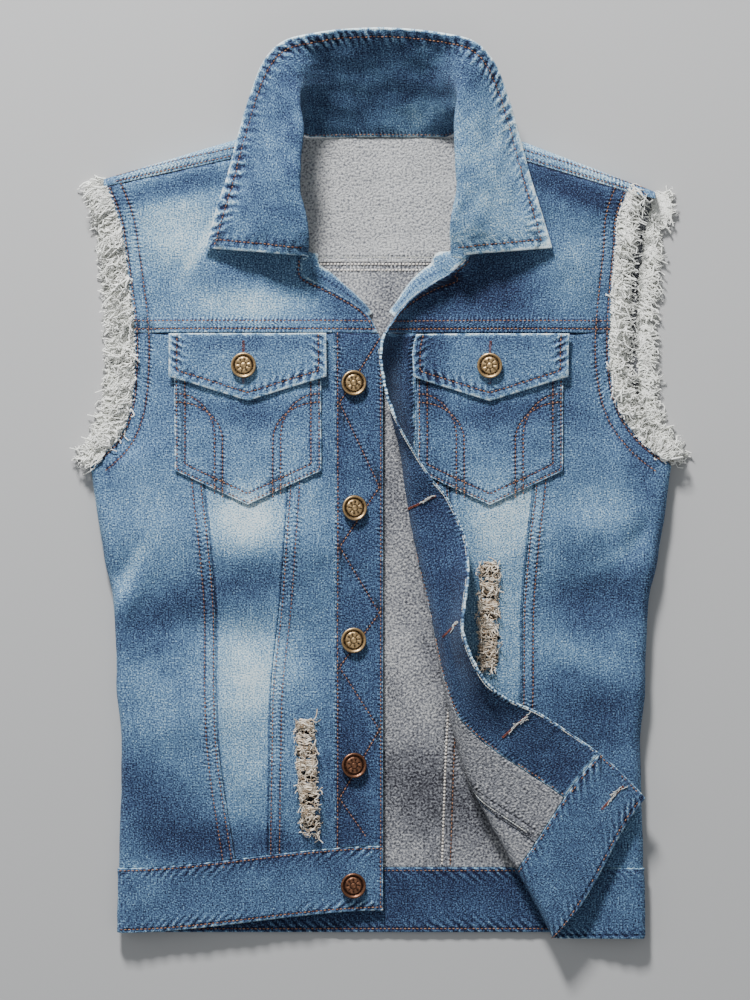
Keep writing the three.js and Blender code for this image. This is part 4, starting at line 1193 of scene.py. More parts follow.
class FringeTree(LineTree):
    """Grows loose curling threads out of a raw edge."""

    name = "Fringe"
    sizes = {
        "Spacing": 0.00028, "Shortest": 0.006, "Longest": 0.016, "Thickness": 0.0008, "Lean": 0.8, "Curl": 0.009,
        "Sag": 0.003, "Floor": 0.0003, "Ceiling": 0.012, "Scatter": 0.0014, "Tuft": 0.0, "Comb": 0.0, "Seed": 3,
    }

    def fill(self, n: Nodes, curve: bpy.types.NodeSocket, sizes: object) -> bpy.types.NodeSocket:
        """Sets curling threads along the edge."""
        points = n.add("GeometryNodeCurveToPoints", {"Curve": curve, "Length": sizes["Spacing"]}, mode="LENGTH")
        seed = sizes["Seed"]
        shift = self._random_vector(n, sizes["Scatter"], seed, 1)
        points = n.add("GeometryNodeSetPosition", {"Geometry": points, "Offset": shift})
        out = n.add("GeometryNodeInputNamedAttribute", {"Name": "outward"}, data_type="FLOAT_VECTOR")
        lean = self._random_vector(n, sizes["Lean"], seed, 2)
        way = n.add("ShaderNodeVectorMath", {0: out, 1: lean}, operation="ADD")
        tuft = n.add("ShaderNodeTexNoise", {"Vector": n.add("GeometryNodeInputPosition"), "Scale": 130.0}, out="Color")
        tuft = n.add("ShaderNodeVectorMath", {0: tuft, 1: (0.5, 0.5, 0.5)}, operation="SUBTRACT")
        tuft = n.add("ShaderNodeVectorMath", {0: tuft, "Scale": sizes["Tuft"]}, operation="SCALE")
        comb = n.add("ShaderNodeCombineXYZ", {1: n.math("MULTIPLY", sizes["Comb"], -1.0)})
        comb = n.add("ShaderNodeVectorMath", {0: comb, 1: tuft}, operation="ADD")
        way = n.add("ShaderNodeVectorMath", {0: way, 1: comb}, operation="ADD")
        turn = n.add("FunctionNodeAlignRotationToVector", {"Vector": way}, axis="X")
        size = {"Min": sizes["Shortest"], "Max": sizes["Longest"], "Seed": n.math("ADD", seed, 3.0)}
        length = self._random(n, size)
        thread = n.add("GeometryNodeCurvePrimitiveLine", {"Start": (0, 0, 0), "End": (1, 0, 0)})
        thread = n.add("GeometryNodeResampleCurve", {"Curve": thread, "Count": 9})
        grown = n.add(
            "GeometryNodeInstanceOnPoints", {"Points": points, "Instance": thread, "Rotation": turn, "Scale": length}
        )
        grown = n.add("GeometryNodeRealizeInstances", {0: grown})
        factor = n.add("GeometryNodeSplineParameter")
        place = n.add("GeometryNodeInputPosition")
        strand = n.add("GeometryNodeInputIndex")
        own = n.math("FLOOR", n.math("DIVIDE", strand, 9.0))
        kink = n.add(
            "ShaderNodeTexNoise",
            {"Vector": place, "Scale": 150.0, "Detail": 1.0, "W": n.math("MULTIPLY", own, 0.09)},
            out="Color", noise_dimensions="4D",
        )
        kink = n.add("ShaderNodeVectorMath", {0: kink, 1: (0.5, 0.5, 0.5)}, operation="SUBTRACT")
        amount = n.math("MULTIPLY", n.math("MULTIPLY", factor, sizes["Curl"]), 4.0)
        kink = n.add("ShaderNodeVectorMath", {0: kink, "Scale": amount}, operation="SCALE")
        drop = n.math("MULTIPLY", n.math("MULTIPLY", factor, factor), n.math("MULTIPLY", sizes["Sag"], -1.0))
        fall = n.add("ShaderNodeCombineXYZ", {2: drop})
        shift = n.add("ShaderNodeVectorMath", {0: kink, 1: fall}, operation="ADD")
        bent = n.add("GeometryNodeSetPosition", {"Geometry": grown, "Offset": shift})
        split = n.add("ShaderNodeSeparateXYZ", {0: n.add("GeometryNodeInputPosition")}).node
        height = n.math("MINIMUM", n.math("MAXIMUM", split.outputs[2], sizes["Floor"]), sizes["Ceiling"])
        held = n.add("ShaderNodeCombineXYZ", {0: split.outputs[0], 1: split.outputs[1], 2: height})
        bent = n.add("GeometryNodeSetPosition", {"Geometry": bent, "Position": held})
        radius = n.math("MULTIPLY", sizes["Thickness"], 0.5)
        ring = n.add("GeometryNodeCurvePrimitiveCircle", {"Resolution": 3, "Radius": radius})
        return n.add("GeometryNodeCurveToMesh", {"Curve": bent, "Profile Curve": ring, "Fill Caps": True})

    @staticmethod
    def _random(n: Nodes, inputs: dict) -> bpy.types.NodeSocket:
        """Adds a random number."""
        node = n.tree.nodes.new("FunctionNodeRandomValue")
        node.data_type = "FLOAT"
        for label, value in inputs.items():
            socket = next(s for s in node.inputs if s.name == label and s.enabled)
            if isinstance(value, bpy.types.NodeSocket):
                n.tree.links.new(value, socket)
            else:
                socket.default_value = value
        return next(s for s in node.outputs if s.enabled)

    def _random_vector(self, n: Nodes, size: object, seed: object, salt: int) -> bpy.types.NodeSocket:
        """Adds a random vector of a given half size."""
        low = n.math("MULTIPLY", size, -1.0)
        parts = {}
        for axis in range(3):
            number = n.math("ADD", seed, float(salt * 17 + axis))
            parts[axis] = self._random(n, {"Min": low, "Max": size, "Seed": number})
        return n.add("ShaderNodeCombineXYZ", parts)


STITCHES, CORDS, FRINGE = StitchTree(), CordTree(), FringeTree()
Lines = list[Grid]


def line(*points: tuple[float, float]) -> Grid:
    """Joins corner points with straight lines, sampled finely."""
    corners = np.array(points, dtype=float)
    parts = [corners[:1]]
    for start, end in zip(corners[:-1], corners[1:]):
        count = max(1, int(np.linalg.norm(end - start) / 5))
        parts.append(start + (end - start) * (np.arange(1, count + 1) / count)[:, None])
    return np.concatenate(parts)


def beside(curve: Callable[[Grid], Grid], y: Grid, distance: float) -> Grid:
    """Follows a seam at a distance.

    Args:
        curve: The seam's place across at each height.
        y: Heights.
        distance: The distance, positive towards greater places across.

    Returns:
        Points across and along.
    """
    slope = (curve(y + 1) - curve(y - 1)) / 2
    scale = distance / np.hypot(1, slope)
    return np.stack([curve(y) + scale, y - scale * slope], axis=-1)


def sew(name: str, pieces: list[ClothPiece]) -> None:
    """Lays the stitches of every shown row on its piece.

    Args:
        name: The start of the stitches' names.
        pieces: The pieces with their rows.
    """
    lines: dict[str, Lines] = {}
    for piece in pieces:
        for row in piece.relief.rows:
            if not row.shown:
                continue
            a, y = row.points.T
            if isinstance(piece.surface, CollarLay):
                a, y = piece.surface.place(row.points)
            height = piece.skin(a, y, row.inner) + (-THREAD_LIFT if row.inner else THREAD_LIFT)
            lines.setdefault(row.thread, []).append(piece.surface.lifted(a, y, height))
    for thread, found in lines.items():
        pitch = {"cord": 0.0028, "pale": 0.0022}.get(thread, STITCH * MM)
        size = {"Pitch": pitch, "Thickness": 0.0024 if thread == "cord" else 0.00105}
        made = STITCHES.make(f"{name}_{thread}_stitches", found, thread, size)
        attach(made, "root")


@dataclass
class VestFront:
    """One front: placket, three panels, yoke, hem band, pocket, flap and neck facing.

    Attributes:
        side: left or right, as seen.
        pitch: Spacing of the cloth's grid.
        pocket_middle: Distance of the pocket's middle from the front edge.
        pocket_width: Width of the pocket.
        flap_width: Width of its flap.
    """

    side: str
    pitch: float = 2.2
    pocket_middle: float = 110.6
    pocket_width: float = 119.0
    flap_width: float = 127.0

    def __post_init__(self) -> None:
        """Looks up the surface and the shades."""
        self.lay = FRONT[self.side]
        self.rolled = self.side == "right"
        self.pieces: list[ClothPiece] = []

    def inner_seam(self, y: Grid) -> Grid:
        """Seam between the centre and the middle panel."""
        return FRONT_SEAMS(y, "inner")

    def outer_seam(self, y: Grid) -> Grid:
        """Seam between the middle and the side panel."""
        return FRONT_SEAMS(y, "outer")

    def hem_share(self, a: Grid) -> Grid:
        """How far the hem has risen towards the front edge."""
        return 1 - smooth(a / (150 if self.rolled else 215))

    def band_top(self, a: Grid) -> Grid:
        """Upper edge of the hem band."""
        return BAND_TOP_Y + HEM_RISE * self.hem_share(a)

    def hem_line(self, a: Grid) -> Grid:
        """Lower edge of the hem band."""
        return HEM_Y - HEM_DROP[self.side] * smooth(a / 90) + HEM_RISE * self.hem_share(a)

    def panel_rows(self) -> dict[str, list[SewnRow]]:
        """Lays out the rows of stitches that the panels share.

        Returns:
            The rows by seam.
        """
        y = np.linspace(BAND_TOP_Y + 12, FRONT_YOKE_Y - 1, 80)
        low = np.linspace(BAND_TOP_Y + 2, FRONT_YOKE_Y - 1, 80)
        high = np.linspace(PIT_Y + 4, FRONT_YOKE_Y - 1, 30)
        width = PLACKET_WIDTH[self.side]
        face = {"inner": self.rolled}
        return {
            "inner": [SewnRow(beside(self.inner_seam, y, -d), pucker=p) for d, p in ((1.6, 0.32), (8.8, 0.26))],
            "outer": [SewnRow(beside(self.outer_seam, low, d), pucker=p) for d, p in ((1.6, 0.32), (8.8, 0.26))],
            "armhole": [SewnRow(beside(self.lay.rim, high, -d), pucker=p) for d, p in ((2.6, 0.3), (12.3, 0.34))],
            "placket": [
                SewnRow(line((width - 1.9, -294), (width - 1.9, 126)), pucker=0.3, **face),
                # On the rolled right front this row's pale thread is partly a painted highlight along the rolled edge.
                SewnRow(line((1.9, -296), (1.9, 112)), pucker=0.34, thread="pale" if self.rolled else "tan", **face),
            ],
        }

    def shadow(self, rows: list[SewnRow]) -> list[SewnRow]:
        """Gives the rows again for a neighbour, where only their puckers reach."""
        return [SewnRow(r.points, r.pucker, r.wave, r.lean, r.reach, 0.0, r.draw, r.thread, False) for r in rows]

    def build(self) -> list[ClothPiece]:
        """Builds and dresses every piece of the front.

        Returns:
            The cloth pieces.
        """
        rows = self.panel_rows()
        self._panels(rows)
        self._yoke()
        self._band()
        self._patches()
        self._facing()
        for piece in self.pieces:
            piece.build()
        sew(f"front_{self.side}", self.pieces)
        return self.pieces

    def _add(self, name: str, cut: Cut, rows: list[SewnRow], base: float, **more: object) -> None:
        """Adds a piece with the front's faded dye and painted shade."""
        settings = {"surface": self.lay, "wash": WashAndShade(base, WASH_AND_SHADE[self.side], seed=6 if self.rolled else 4)}
        settings.update(more)
        seed = sum(map(ord, name))
        self.pieces.append(ClothPiece(f"{name}_{self.side}", cut=cut, relief=Relief(rows, seed), **settings))

    def _panels(self, rows: dict[str, list[SewnRow]]) -> None:
        """Cuts the placket and the three panels between the hem band and the yoke."""
        half = SEAM_GAP / 2
        inset = ROLLED_GAP / 2 if self.rolled else half
        width = PLACKET_WIDTH[self.side]
        along = span(FRONT_YOKE_Y - BAND_TOP_Y, self.pitch)

        def panel(start: Callable, end: Callable, across: Grid) -> Cut:
            """Lays one panel out between its two seams."""

            def place(us: Grid, uo: Grid, vs: Grid, vo: Grid) -> tuple[Grid, Grid, Grid, Grid]:
                """Places the stations."""
                stop = mix(BAND_TOP_Y, FRONT_YOKE_Y, vs) + vo
                low, high = start(stop) + inset, end(stop) - inset
                a = mix(low, high, us) + uo
                share = np.clip((FRONT_YOKE_Y - stop) / (FRONT_YOKE_Y - BAND_TOP_Y), 0, 1)
                y = stop + share * (self.band_top(a) - BAND_TOP_Y + SEAM_GAP) - half
                return a, y, high - low, FRONT_YOKE_Y - BAND_TOP_Y

            return Cut.of(across, along, place)

        def fell(distance: Grid) -> Grid:
            """Gives the rise of a felled seam at a distance from it."""
            return FELL_RISE * smooth((FELL_WIDTH + 0.4 - distance) / 0.8)

        skins = ("denim", "denim") if self.rolled else ("denim", "wrong_side")
        # These unsewn rows make grooves with painted shade lines: under the yoke seam, and along the steps of the
        # felled seams.
        under = [SewnRow(line((0, FRONT_YOKE_Y - 0.5), (255, FRONT_YOKE_Y - 0.5)), 0.0, draw=0.0, shown=False)]
        seam_shade_rows = [
            SewnRow(beside(seam, np.linspace(BAND_TOP_Y, FRONT_YOKE_Y, 60), d), 0.0, draw=0.0, shown=False)
            for seam, d in ((self.inner_seam, 0.9), (self.outer_seam, -0.9))
        ]
        cut = panel(lambda y: FrontLay.edge(y) - half, lambda y: width + 0 * y, span(width, self.pitch))
        more = [ZIGZAG] if not self.rolled else []
        # On the rolled right front the strong pale rim is edge wear and also a painted highlight along the rolled edge.
        self._add(
            "placket", cut, rows["placket"] + more + under, BASES[self.side]["placket"],
            thick=DOUBLE_CLOTH, skins=skins,
            edge_wear=1.7 if self.rolled else 0.8, edge_width=1.5 if self.rolled else 0.9,
        )
        cut = panel(lambda y: width + 0 * y, self.inner_seam, span(45, self.pitch, high_band=FELL_WIDTH))
        near = rows["inner"] + self.shadow(rows["placket"][:1]) + under
        if self.rolled:
            y = np.linspace(BAND_TOP_Y + 8, -60, 60)
            near.append(SewnRow(beside(self.inner_seam, y, -3.0), 0.1, draw=0.2, groove=0.1, thread="pale", inner=True))
        self._add(
            "front_centre", cut, near, BASES[self.side]["centre"],
            torn=TORN["left"].window if not self.rolled else None,
            raised=lambda a, y: fell(self.inner_seam(y) - a),
        )
        cut = panel(self.inner_seam, self.outer_seam, span(50, self.pitch))
        near = self.shadow(rows["inner"] + rows["outer"]) + seam_shade_rows + under
        self._add(
            "front_middle", cut, near, BASES[self.side]["middle"], torn=TORN["right"].window if self.rolled else None
        )
        cut = panel(self.outer_seam, self.lay.end, span(78, self.pitch, low_band=FELL_WIDTH))
        self._add(
            "front_side", cut, rows["outer"] + rows["armhole"] + under, BASES[self.side]["side"],
            raised=lambda a, y: fell(a - self.outer_seam(y)),
        )

    def _yoke(self) -> None:
        """Cuts the yoke between the panels, the neckline, the shoulder seam and the armhole."""
        x = -ARMHOLE(250, "left") if not self.rolled else ARMHOLE(240, "right") + HOLE_EDGE_X
        out_top = float(BACK.shoulder_seam(x)) - SEAM_GAP
        top, half = 277.5, SEAM_GAP / 2

        def place(us: Grid, uo: Grid, vs: Grid, vo: Grid) -> tuple[Grid, Grid, Grid, Grid]:
            """Places the stations along rows that fan out to the armhole."""
            v_in, v_out = mix(FRONT_YOKE_Y, top, vs) + vo, mix(FRONT_YOKE_Y, out_top, vs) + vo
            low, high = FrontLay.edge(v_in) + 0.01, ARMHOLE(v_out, self.side)
            u = us + uo / (high - low)
            height = mix(top, out_top, u) - FRONT_YOKE_Y
            return mix(low, high, u), mix(v_in, v_out, u) + half, high - low, height

        cut = Cut.of(span(165, self.pitch), span(136, self.pitch, low_band=FELL_WIDTH), place)
        rows = []
        for lift in (3.3, 10.0):
            start = float(FrontLay.edge(FRONT_YOKE_Y + lift)) + 2
            a = np.linspace(start, float(ARMHOLE(FRONT_YOKE_Y, self.side)) - 1, 50)
            rows.append(SewnRow(np.stack([a, np.full_like(a, FRONT_YOKE_Y + lift)], -1), pucker=0.24))
        y = np.linspace(FRONT_YOKE_Y + 1, out_top - 2, 40)
        rows += [SewnRow(beside(self.lay.rim, y, -d), pucker=0.32) for d in (2.6, 12.3)]
        y = np.linspace(FRONT_YOKE_Y + 4, 186, 30)
        rows.append(SewnRow(beside(FrontLay.edge, y, 2.2), pucker=0.25))
        # An unsewn row whose groove paints a shade line just below the shoulder seam, where the back yoke overlaps.
        a = np.linspace(86, 226, 40)
        level = BACK.shoulder_seam(self.lay.flat_x(a, np.full_like(a, 255.0)))
        rows.append(SewnRow(np.stack([a, level - 0.9], -1), 0.0, draw=0.0, shown=False))
        self._add(
            "front_yoke", cut, rows, BASES[self.side]["yoke"],
            raised=lambda a, y: FELL_RISE * smooth((FRONT_YOKE_Y + FELL_WIDTH + 0.4 - y) / 0.8),
        )

    def _band(self) -> None:
        """Cuts the double hem band."""
        half = SEAM_GAP / 2
        width = float(self.lay.end(BAND_TOP_Y))

        def place(us: Grid, uo: Grid, vs: Grid, vo: Grid) -> tuple[Grid, Grid, Grid, Grid]:
            """Places the stations."""
            end = self.lay.end(mix(HEM_Y, BAND_TOP_Y, vs)) - half
            a = end * us + uo
            low, high = self.hem_line(a), self.band_top(a) - half
            return a, mix(low, high, vs) + vo, end, high - low

        cut = Cut.of(span(width, self.pitch), span(53, 2.0), place)
        a = np.linspace(1.5, width - 4, 90)
        shade = {"pucker": 0.5, "wave": 7.4, "lean": 1.1, "reach": 8.0, "draw": 0.75, "inner": self.rolled}
        rows = [
            SewnRow(np.stack([a, self.band_top(a) - 2.2], -1), **shade),
            SewnRow(np.stack([a, self.hem_line(a) + 2.6], -1), **shade),
            SewnRow(
                line((2.0, float(self.hem_line(2.0)) + 3), (2.0, float(self.band_top(2.0)) - 3)), inner=self.rolled
            ),
        ]
        self._add(
            "hem_band", cut, rows, BASES[self.side]["band"], thick=DOUBLE_CLOTH, skins=("denim", "denim"), edge_wear=0.9
        )

    def _patches(self) -> None:
        """Cuts the chest pocket and its pointed flap."""
        middle = self.pocket_middle

        def shape(width: float, top: float, corner: float, point: float, pitch: float) -> tuple[Cut, Callable]:
            """Lays out a patch with straight sides and a pointed lower edge."""

            def low(a: Grid) -> Grid:
                """Gives the lower edge."""
                return mix(corner, point, 1 - np.abs(a - middle) / (width / 2))

            def place(us: Grid, uo: Grid, vs: Grid, vo: Grid) -> tuple[Grid, Grid, Grid, Grid]:
                """Places the stations."""
                a = middle + (us - 0.5) * width + uo
                return a, mix(low(a), top, vs) + vo, np.full_like(a, width), top - low(a)

            return Cut.of(span(width, pitch), span(top - corner + 14, pitch), place), low

        def border(width: float, top: float, corner: float, point: float, inset: float) -> Grid:
            """Follows the sides and the point of a patch, a little inside."""
            left, right = middle - width / 2 + inset, middle + width / 2 - inset
            slope = (corner - point) / (width / 2)
            rise = inset * math.hypot(1, slope)

            def low(a: float) -> float:
                """Gives the height of the row at a place across."""
                return mix(corner, point, 1 - abs(a - middle) / (width / 2)) + rise

            corners = [(a, low(a)) for a in (left, middle, right)]
            return line((left, top - 2), *corners, (right, top - 2))

        pocket, _ = shape(self.pocket_width, 92, 14, -14, 1.9)
        low = CLOTH + FELL_RISE + LAYER_GAP
        rows = [SewnRow(border(self.pocket_width, 92, 14, -14, d), pucker=p) for d, p in ((1.7, 0.34), (8.2, 0.28))]
        for bow, drop in ((27.0, 77.0), (20.5, 70.0)):
            for sign in (-1, 1):
                turn = np.linspace(0, math.pi / 2, 14)
                out = 58 - (58 - bow) * np.sin(turn)
                arc = np.stack([middle + sign * out, drop - (22 + bow * 0.5) * (1 - np.cos(turn))], -1)
                foot = [[middle + sign * bow, y] for y in np.linspace(arc[-1, 1] - 4, 10 - 0.45 * (59 - bow), 8)]
                rows.append(SewnRow(np.concatenate([arc, foot]), pucker=0.1))
        self._add(
            "pocket", pocket, rows, BASES[self.side]["pocket"], thick=PATCH_CLOTH, low=low,
            rests_on=(f"front_side_{self.side}",), edge_wear=1.3, edge_width=1.1,
        )
        flap, edge = shape(self.flap_width, 126.2, 91, 71, 1.7)
        rope = {"pucker": 0.4, "reach": 5.5, "wave": 6.2, "draw": 0.95, "lean": 0.5}
        rows = [SewnRow(border(self.flap_width, 126.2, 91, 71, 6.5), **rope)]
        self._add(
            "pocket_flap", flap, rows, BASES[self.side]["flap"], thick=DOUBLE_CLOTH, low=low + PATCH_CLOTH + LAYER_GAP,
            skins=("denim", "denim"), rests_on=(f"pocket_{self.side}",), edge_wear=1.6, edge_width=1.2,
        )

    def _facing(self) -> None:
        """Cuts the facing that shows inside the open neck."""

        def place(us: Grid, uo: Grid, vs: Grid, vo: Grid) -> tuple[Grid, Grid, Grid, Grid]:
            """Places the stations."""
            u = us + uo / FACING_WIDTH
            width, height = np.full_like(u, FACING_WIDTH), np.full_like(u, FACING_HIGH - FACING_LOW)
            return u, mix(FACING_LOW, FACING_HIGH, vs) + vo, width, height

        cut = Cut.of(span(FACING_WIDTH, 2.0), span(FACING_HIGH - FACING_LOW, 2.0), place)
        self._add(
            "neck_facing", cut, [SewnRow(line((8, 2), (8, 60)), 0.4, draw=0.6, shown=False)],
            BASES[self.side]["facing"],
            surface=FacingLay(self.side), low=-CLOTH / 2, rests_on=(f"front_yoke_{self.side}",),
            skins=("denim", "denim"), slot="pale_denim", edge_wear=1.4, edge_width=1.4,
        )


class FacingLay(Surface):
    """The facing inside an edge of the open neck, by its share inward and the height of its edge."""

    step = 0.01

    def __init__(self, side: str) -> None:
        """Keeps the side."""
        self.side = side
        self.inward = 1 if side == "left" else -1
        self.rows = np.linspace(135, 192, 58)
        edge = self.at(np.full(58, 0.5), self.rows)
        self.run = np.concatenate([[0], np.cumsum(np.linalg.norm(np.diff(edge, axis=0), axis=1))])

    def at(self, a: Grid, y: Grid) -> Grid:
        """Places points on the facing's middle surface."""
        start = FRONT[self.side].lifted(FrontLay.edge(y) + 1.6, y, -SEAM_GAP - CLOTH / 2)
        reach = (4 + 13 * smooth((y - 140) / 47)) * (1 - 0.5 * smooth((y - 178) / 9))
        drop = np.clip(start[..., 2] - CLOTH * 1.5 - LAYER_GAP, 0, 6) * a * a
        return start + stack(self.inward * a * reach, a * reach * 0.8, -drop)

    def measure(self, a: Grid, y: Grid) -> Grid:
        """Gives the place in the cut cloth."""
        return np.stack(np.broadcast_arrays(a * FACING_WIDTH, np.interp(y, self.rows, self.run)), axis=-1).astype(float)


@dataclass(frozen=True)
class TornPlace:
    """A torn place: windows in the cloth and the threads that cross them.

    Attributes:
        side: The front that it is in.
        top: Its upper end.
        bottom: Its lower end.
        width: Its width.
        windows: How many windows it has.
        share: The share of its length that is open.
    """

    side: str
    top: tuple[float, float]
    bottom: tuple[float, float]
    width: float
    windows: int = 5
    share: float = 0.5

    def window(self, a: Grid, y: Grid) -> Grid:
        """Tells which places lie in a window."""
        along = (y - self.top[1]) / (self.bottom[1] - self.top[1])
        middle = mix(self.top[0], self.bottom[0], along)
        ragged = 0.8 * ripple(a, y, 5, 77)
        inside = np.abs(a - middle) < self.width / 2 + ragged
        place = (along * self.windows) % 1
        return inside & (np.abs(place - 0.5) < self.share / 2 + 0.02 * ragged) & (along > 0) & (along < 1)

    def threads(self) -> None:
        """Lays the loose weft threads across the torn place."""
        rng = np.random.default_rng(31 + len(self.side))
        lines, tufts, ways = [], [], []
        lay = FRONT[self.side]
        length = abs(self.top[1] - self.bottom[1])
        widths = rng.uniform(0.6, 1.2, self.windows + 1)
        shifts = rng.uniform(-1.6, 1.6, self.windows + 1)
        for k in range(int(length / 0.62)):
            along = (k + rng.uniform(-0.4, 0.4)) * 0.62 / length
            number, group = divmod(along * self.windows + 0.5, 1)
            block = int(min(max(number, 0), self.windows))
            open_place = abs(group - 0.5) > self.share / 2
            if (open_place and k % 5) or rng.random() < 0.2:
                continue
            middle = mix(self.top[0], self.bottom[0], along) + shifts[block] + rng.uniform(-0.6, 0.6)
            y = mix(self.top[1], self.bottom[1], along)
            bulge = 0.0 if open_place else math.sin(math.pi * (group - 0.5 + self.share / 2) / self.share)
            reach = self.width / 2 * widths[block] * rng.uniform(0.8, 1.1) * (0.7 + 0.3 * bulge)
            t = np.linspace(-1, 1, 11)
            bow = rng.uniform(-1.4, 1.4) * (1 - t * t)
            wander = y + bow + 0.5 * np.sin(t * 5 + rng.uniform(0, 6))
            height = CLOTH + 0.3 + (rng.uniform(0.2, 0.9) + 1.7 * bulge) * (1 - t * t)
            lines.append(lay.lifted(middle + t * reach, wander, height))
        for block in range(self.windows + 1):
            along = np.clip((block + self.share * 0.42) / self.windows, 0, 1.0)
            a = mix(self.top[0], self.bottom[0], along) + shifts[block] + np.linspace(-0.42, 0.42, 6) * self.width
            y = mix(self.top[1], self.bottom[1], along) + 0 * a
            tufts.append(lay.lifted(a, y, CLOTH + 1.2 + 0 * y))
            ways.append(np.tile([0.0, -1.0, 0.35], (6, 1)))
        for sign in (-1, 1):
            along = np.linspace(0, 1, 24)
            a = mix(self.top[0], self.bottom[0], along) + sign * self.width / 2
            y = mix(self.top[1], self.bottom[1], along)
            tufts.append(lay.lifted(a, y, CLOTH + 0.2 + 0 * y))
            inward = lay.lifted(a - sign, y, CLOTH + 0.5) - lay.lifted(a, y, CLOTH)
            ways.append(unit(inward))
        cords = CORDS.make(f"torn_{self.side}_weft", lines, "weft", {"Thickness": 0.0011})
        values = {
            "Spacing": 0.0008, "Shortest": 0.002, "Longest": 0.0065, "Curl": 0.008, "Sag": 0.0, "Lean": 0.7,
            "Thickness": 0.0009, "Floor": 0.003, "Ceiling": 0.03, "Tuft": 2.0, "Seed": 21,
        }
        fuzz = FRINGE.make(f"torn_{self.side}_tufts", tufts, "weft", values, ways)
        for piece in (cords, fuzz):
            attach(piece, "root")


TORN = {
    "left": TornPlace("left", (64, -189), (59, -283), 14),
    "right": TornPlace("right", (110.5, -60), (109, -147), 15),
}
ZIGZAG = SewnRow(
    line(
        (3, 122), (36, 69.7), (3, 0.8), (36, -48.4), (3, -102.5), (36, -146.8), (3, -198), (36, -254.2), (14.7, -284.5)
    ),
    pucker=0.1,
)
BASES = {
    "left": {
        "placket": 0.30, "centre": 0.48, "middle": 0.54, "side": 0.48, "yoke": 0.56, "band": 0.38, "pocket": 0.50,
        "flap": 0.52, "facing": 0.56,
    },
    "right": {
        "placket": 0.20, "centre": 0.50, "middle": 0.56, "side": 0.44, "yoke": 0.35, "band": 0.36, "pocket": 0.44,
        "flap": 0.48, "facing": 0.58,
    },
}
# Patches on each front, in the columns place x and y, half lengths long and short, lie in degrees, and shade added.
# Besides faded and darker dye, the dark patches in the lees of the folds, under the collar leaves, beside the rolled
# front edge and under the pocket flaps are painted shadow and shade, and the thin pale streaks along fold ridges are
# painted highlights.
WASH_AND_SHADE = {
    "left": (
        (-111, -24, 30, 28, 0, 0.4), (-66, -10, 20, 34, 0, 0.12), (-181, -106, 54, 20, 22, -0.2),
        (-111, -78, 36, 21, 6, -0.2), (-54, -86, 24, 24, 0, -0.02), (-107, -146, 38, 36, 0, 0.3),
        (-111, -206, 26, 46, 0, 0.16), (-181, -178, 36, 30, 0, 0.06), (-192, -258, 62, 32, -40, -0.24),
        (-115, -292, 70, 18, 0, -0.26), (-34, -236, 24, 66, 0, -0.16), (-207, -72, 40, 6, 62, 0.16),
        (-189, -24, 34, 36, 0, 0.1), (-172, 212, 34, 30, 10, 0.26), (-143, 205, 46, 5, 60, 0.2),
        (-111, 151, 44, 13, 0, 0.22), (-94, 180, 48, 17, 0, -0.14), (-170, 246, 60, 9, 13, -0.28),
        (-224, 150, 14, 110, 0, -0.2), (-25, 154, 32, 26, 0, -0.24), (-112, 119, 58, 8, 0, -0.14),
        (-114, 62, 56, 12, 0, -0.16), (-40, 60, 12, 60, 0, -0.08), (-181, -132, 44, 5, 20, -0.08),
    ),
    "right": (
        (180, -90, 44, 26, 8, -0.2), (176, -188, 54, 36, -12, -0.19), (180, -16, 40, 24, 0, 0.16),
        (190, -56, 34, 6, 32, 0.14), (166, -138, 34, 12, -14, 0.12), (102, -22, 34, 38, 0, 0.28),
        (110, -112, 30, 60, 0, 0.12), (159, 180, 30, 48, -12, 0.24), (81, 164, 56, 28, -8, -0.2),
        (171, 238, 50, 11, -22, -0.24), (40, 105, 18, 50, 0, -0.2), (214, 60, 14, 90, 0, -0.14),
        (110, 119, 58, 8, 0, -0.1), (108, 62, 56, 13, 0, -0.18), (232, -70, 10, 60, 0, -0.16),
    ),
}


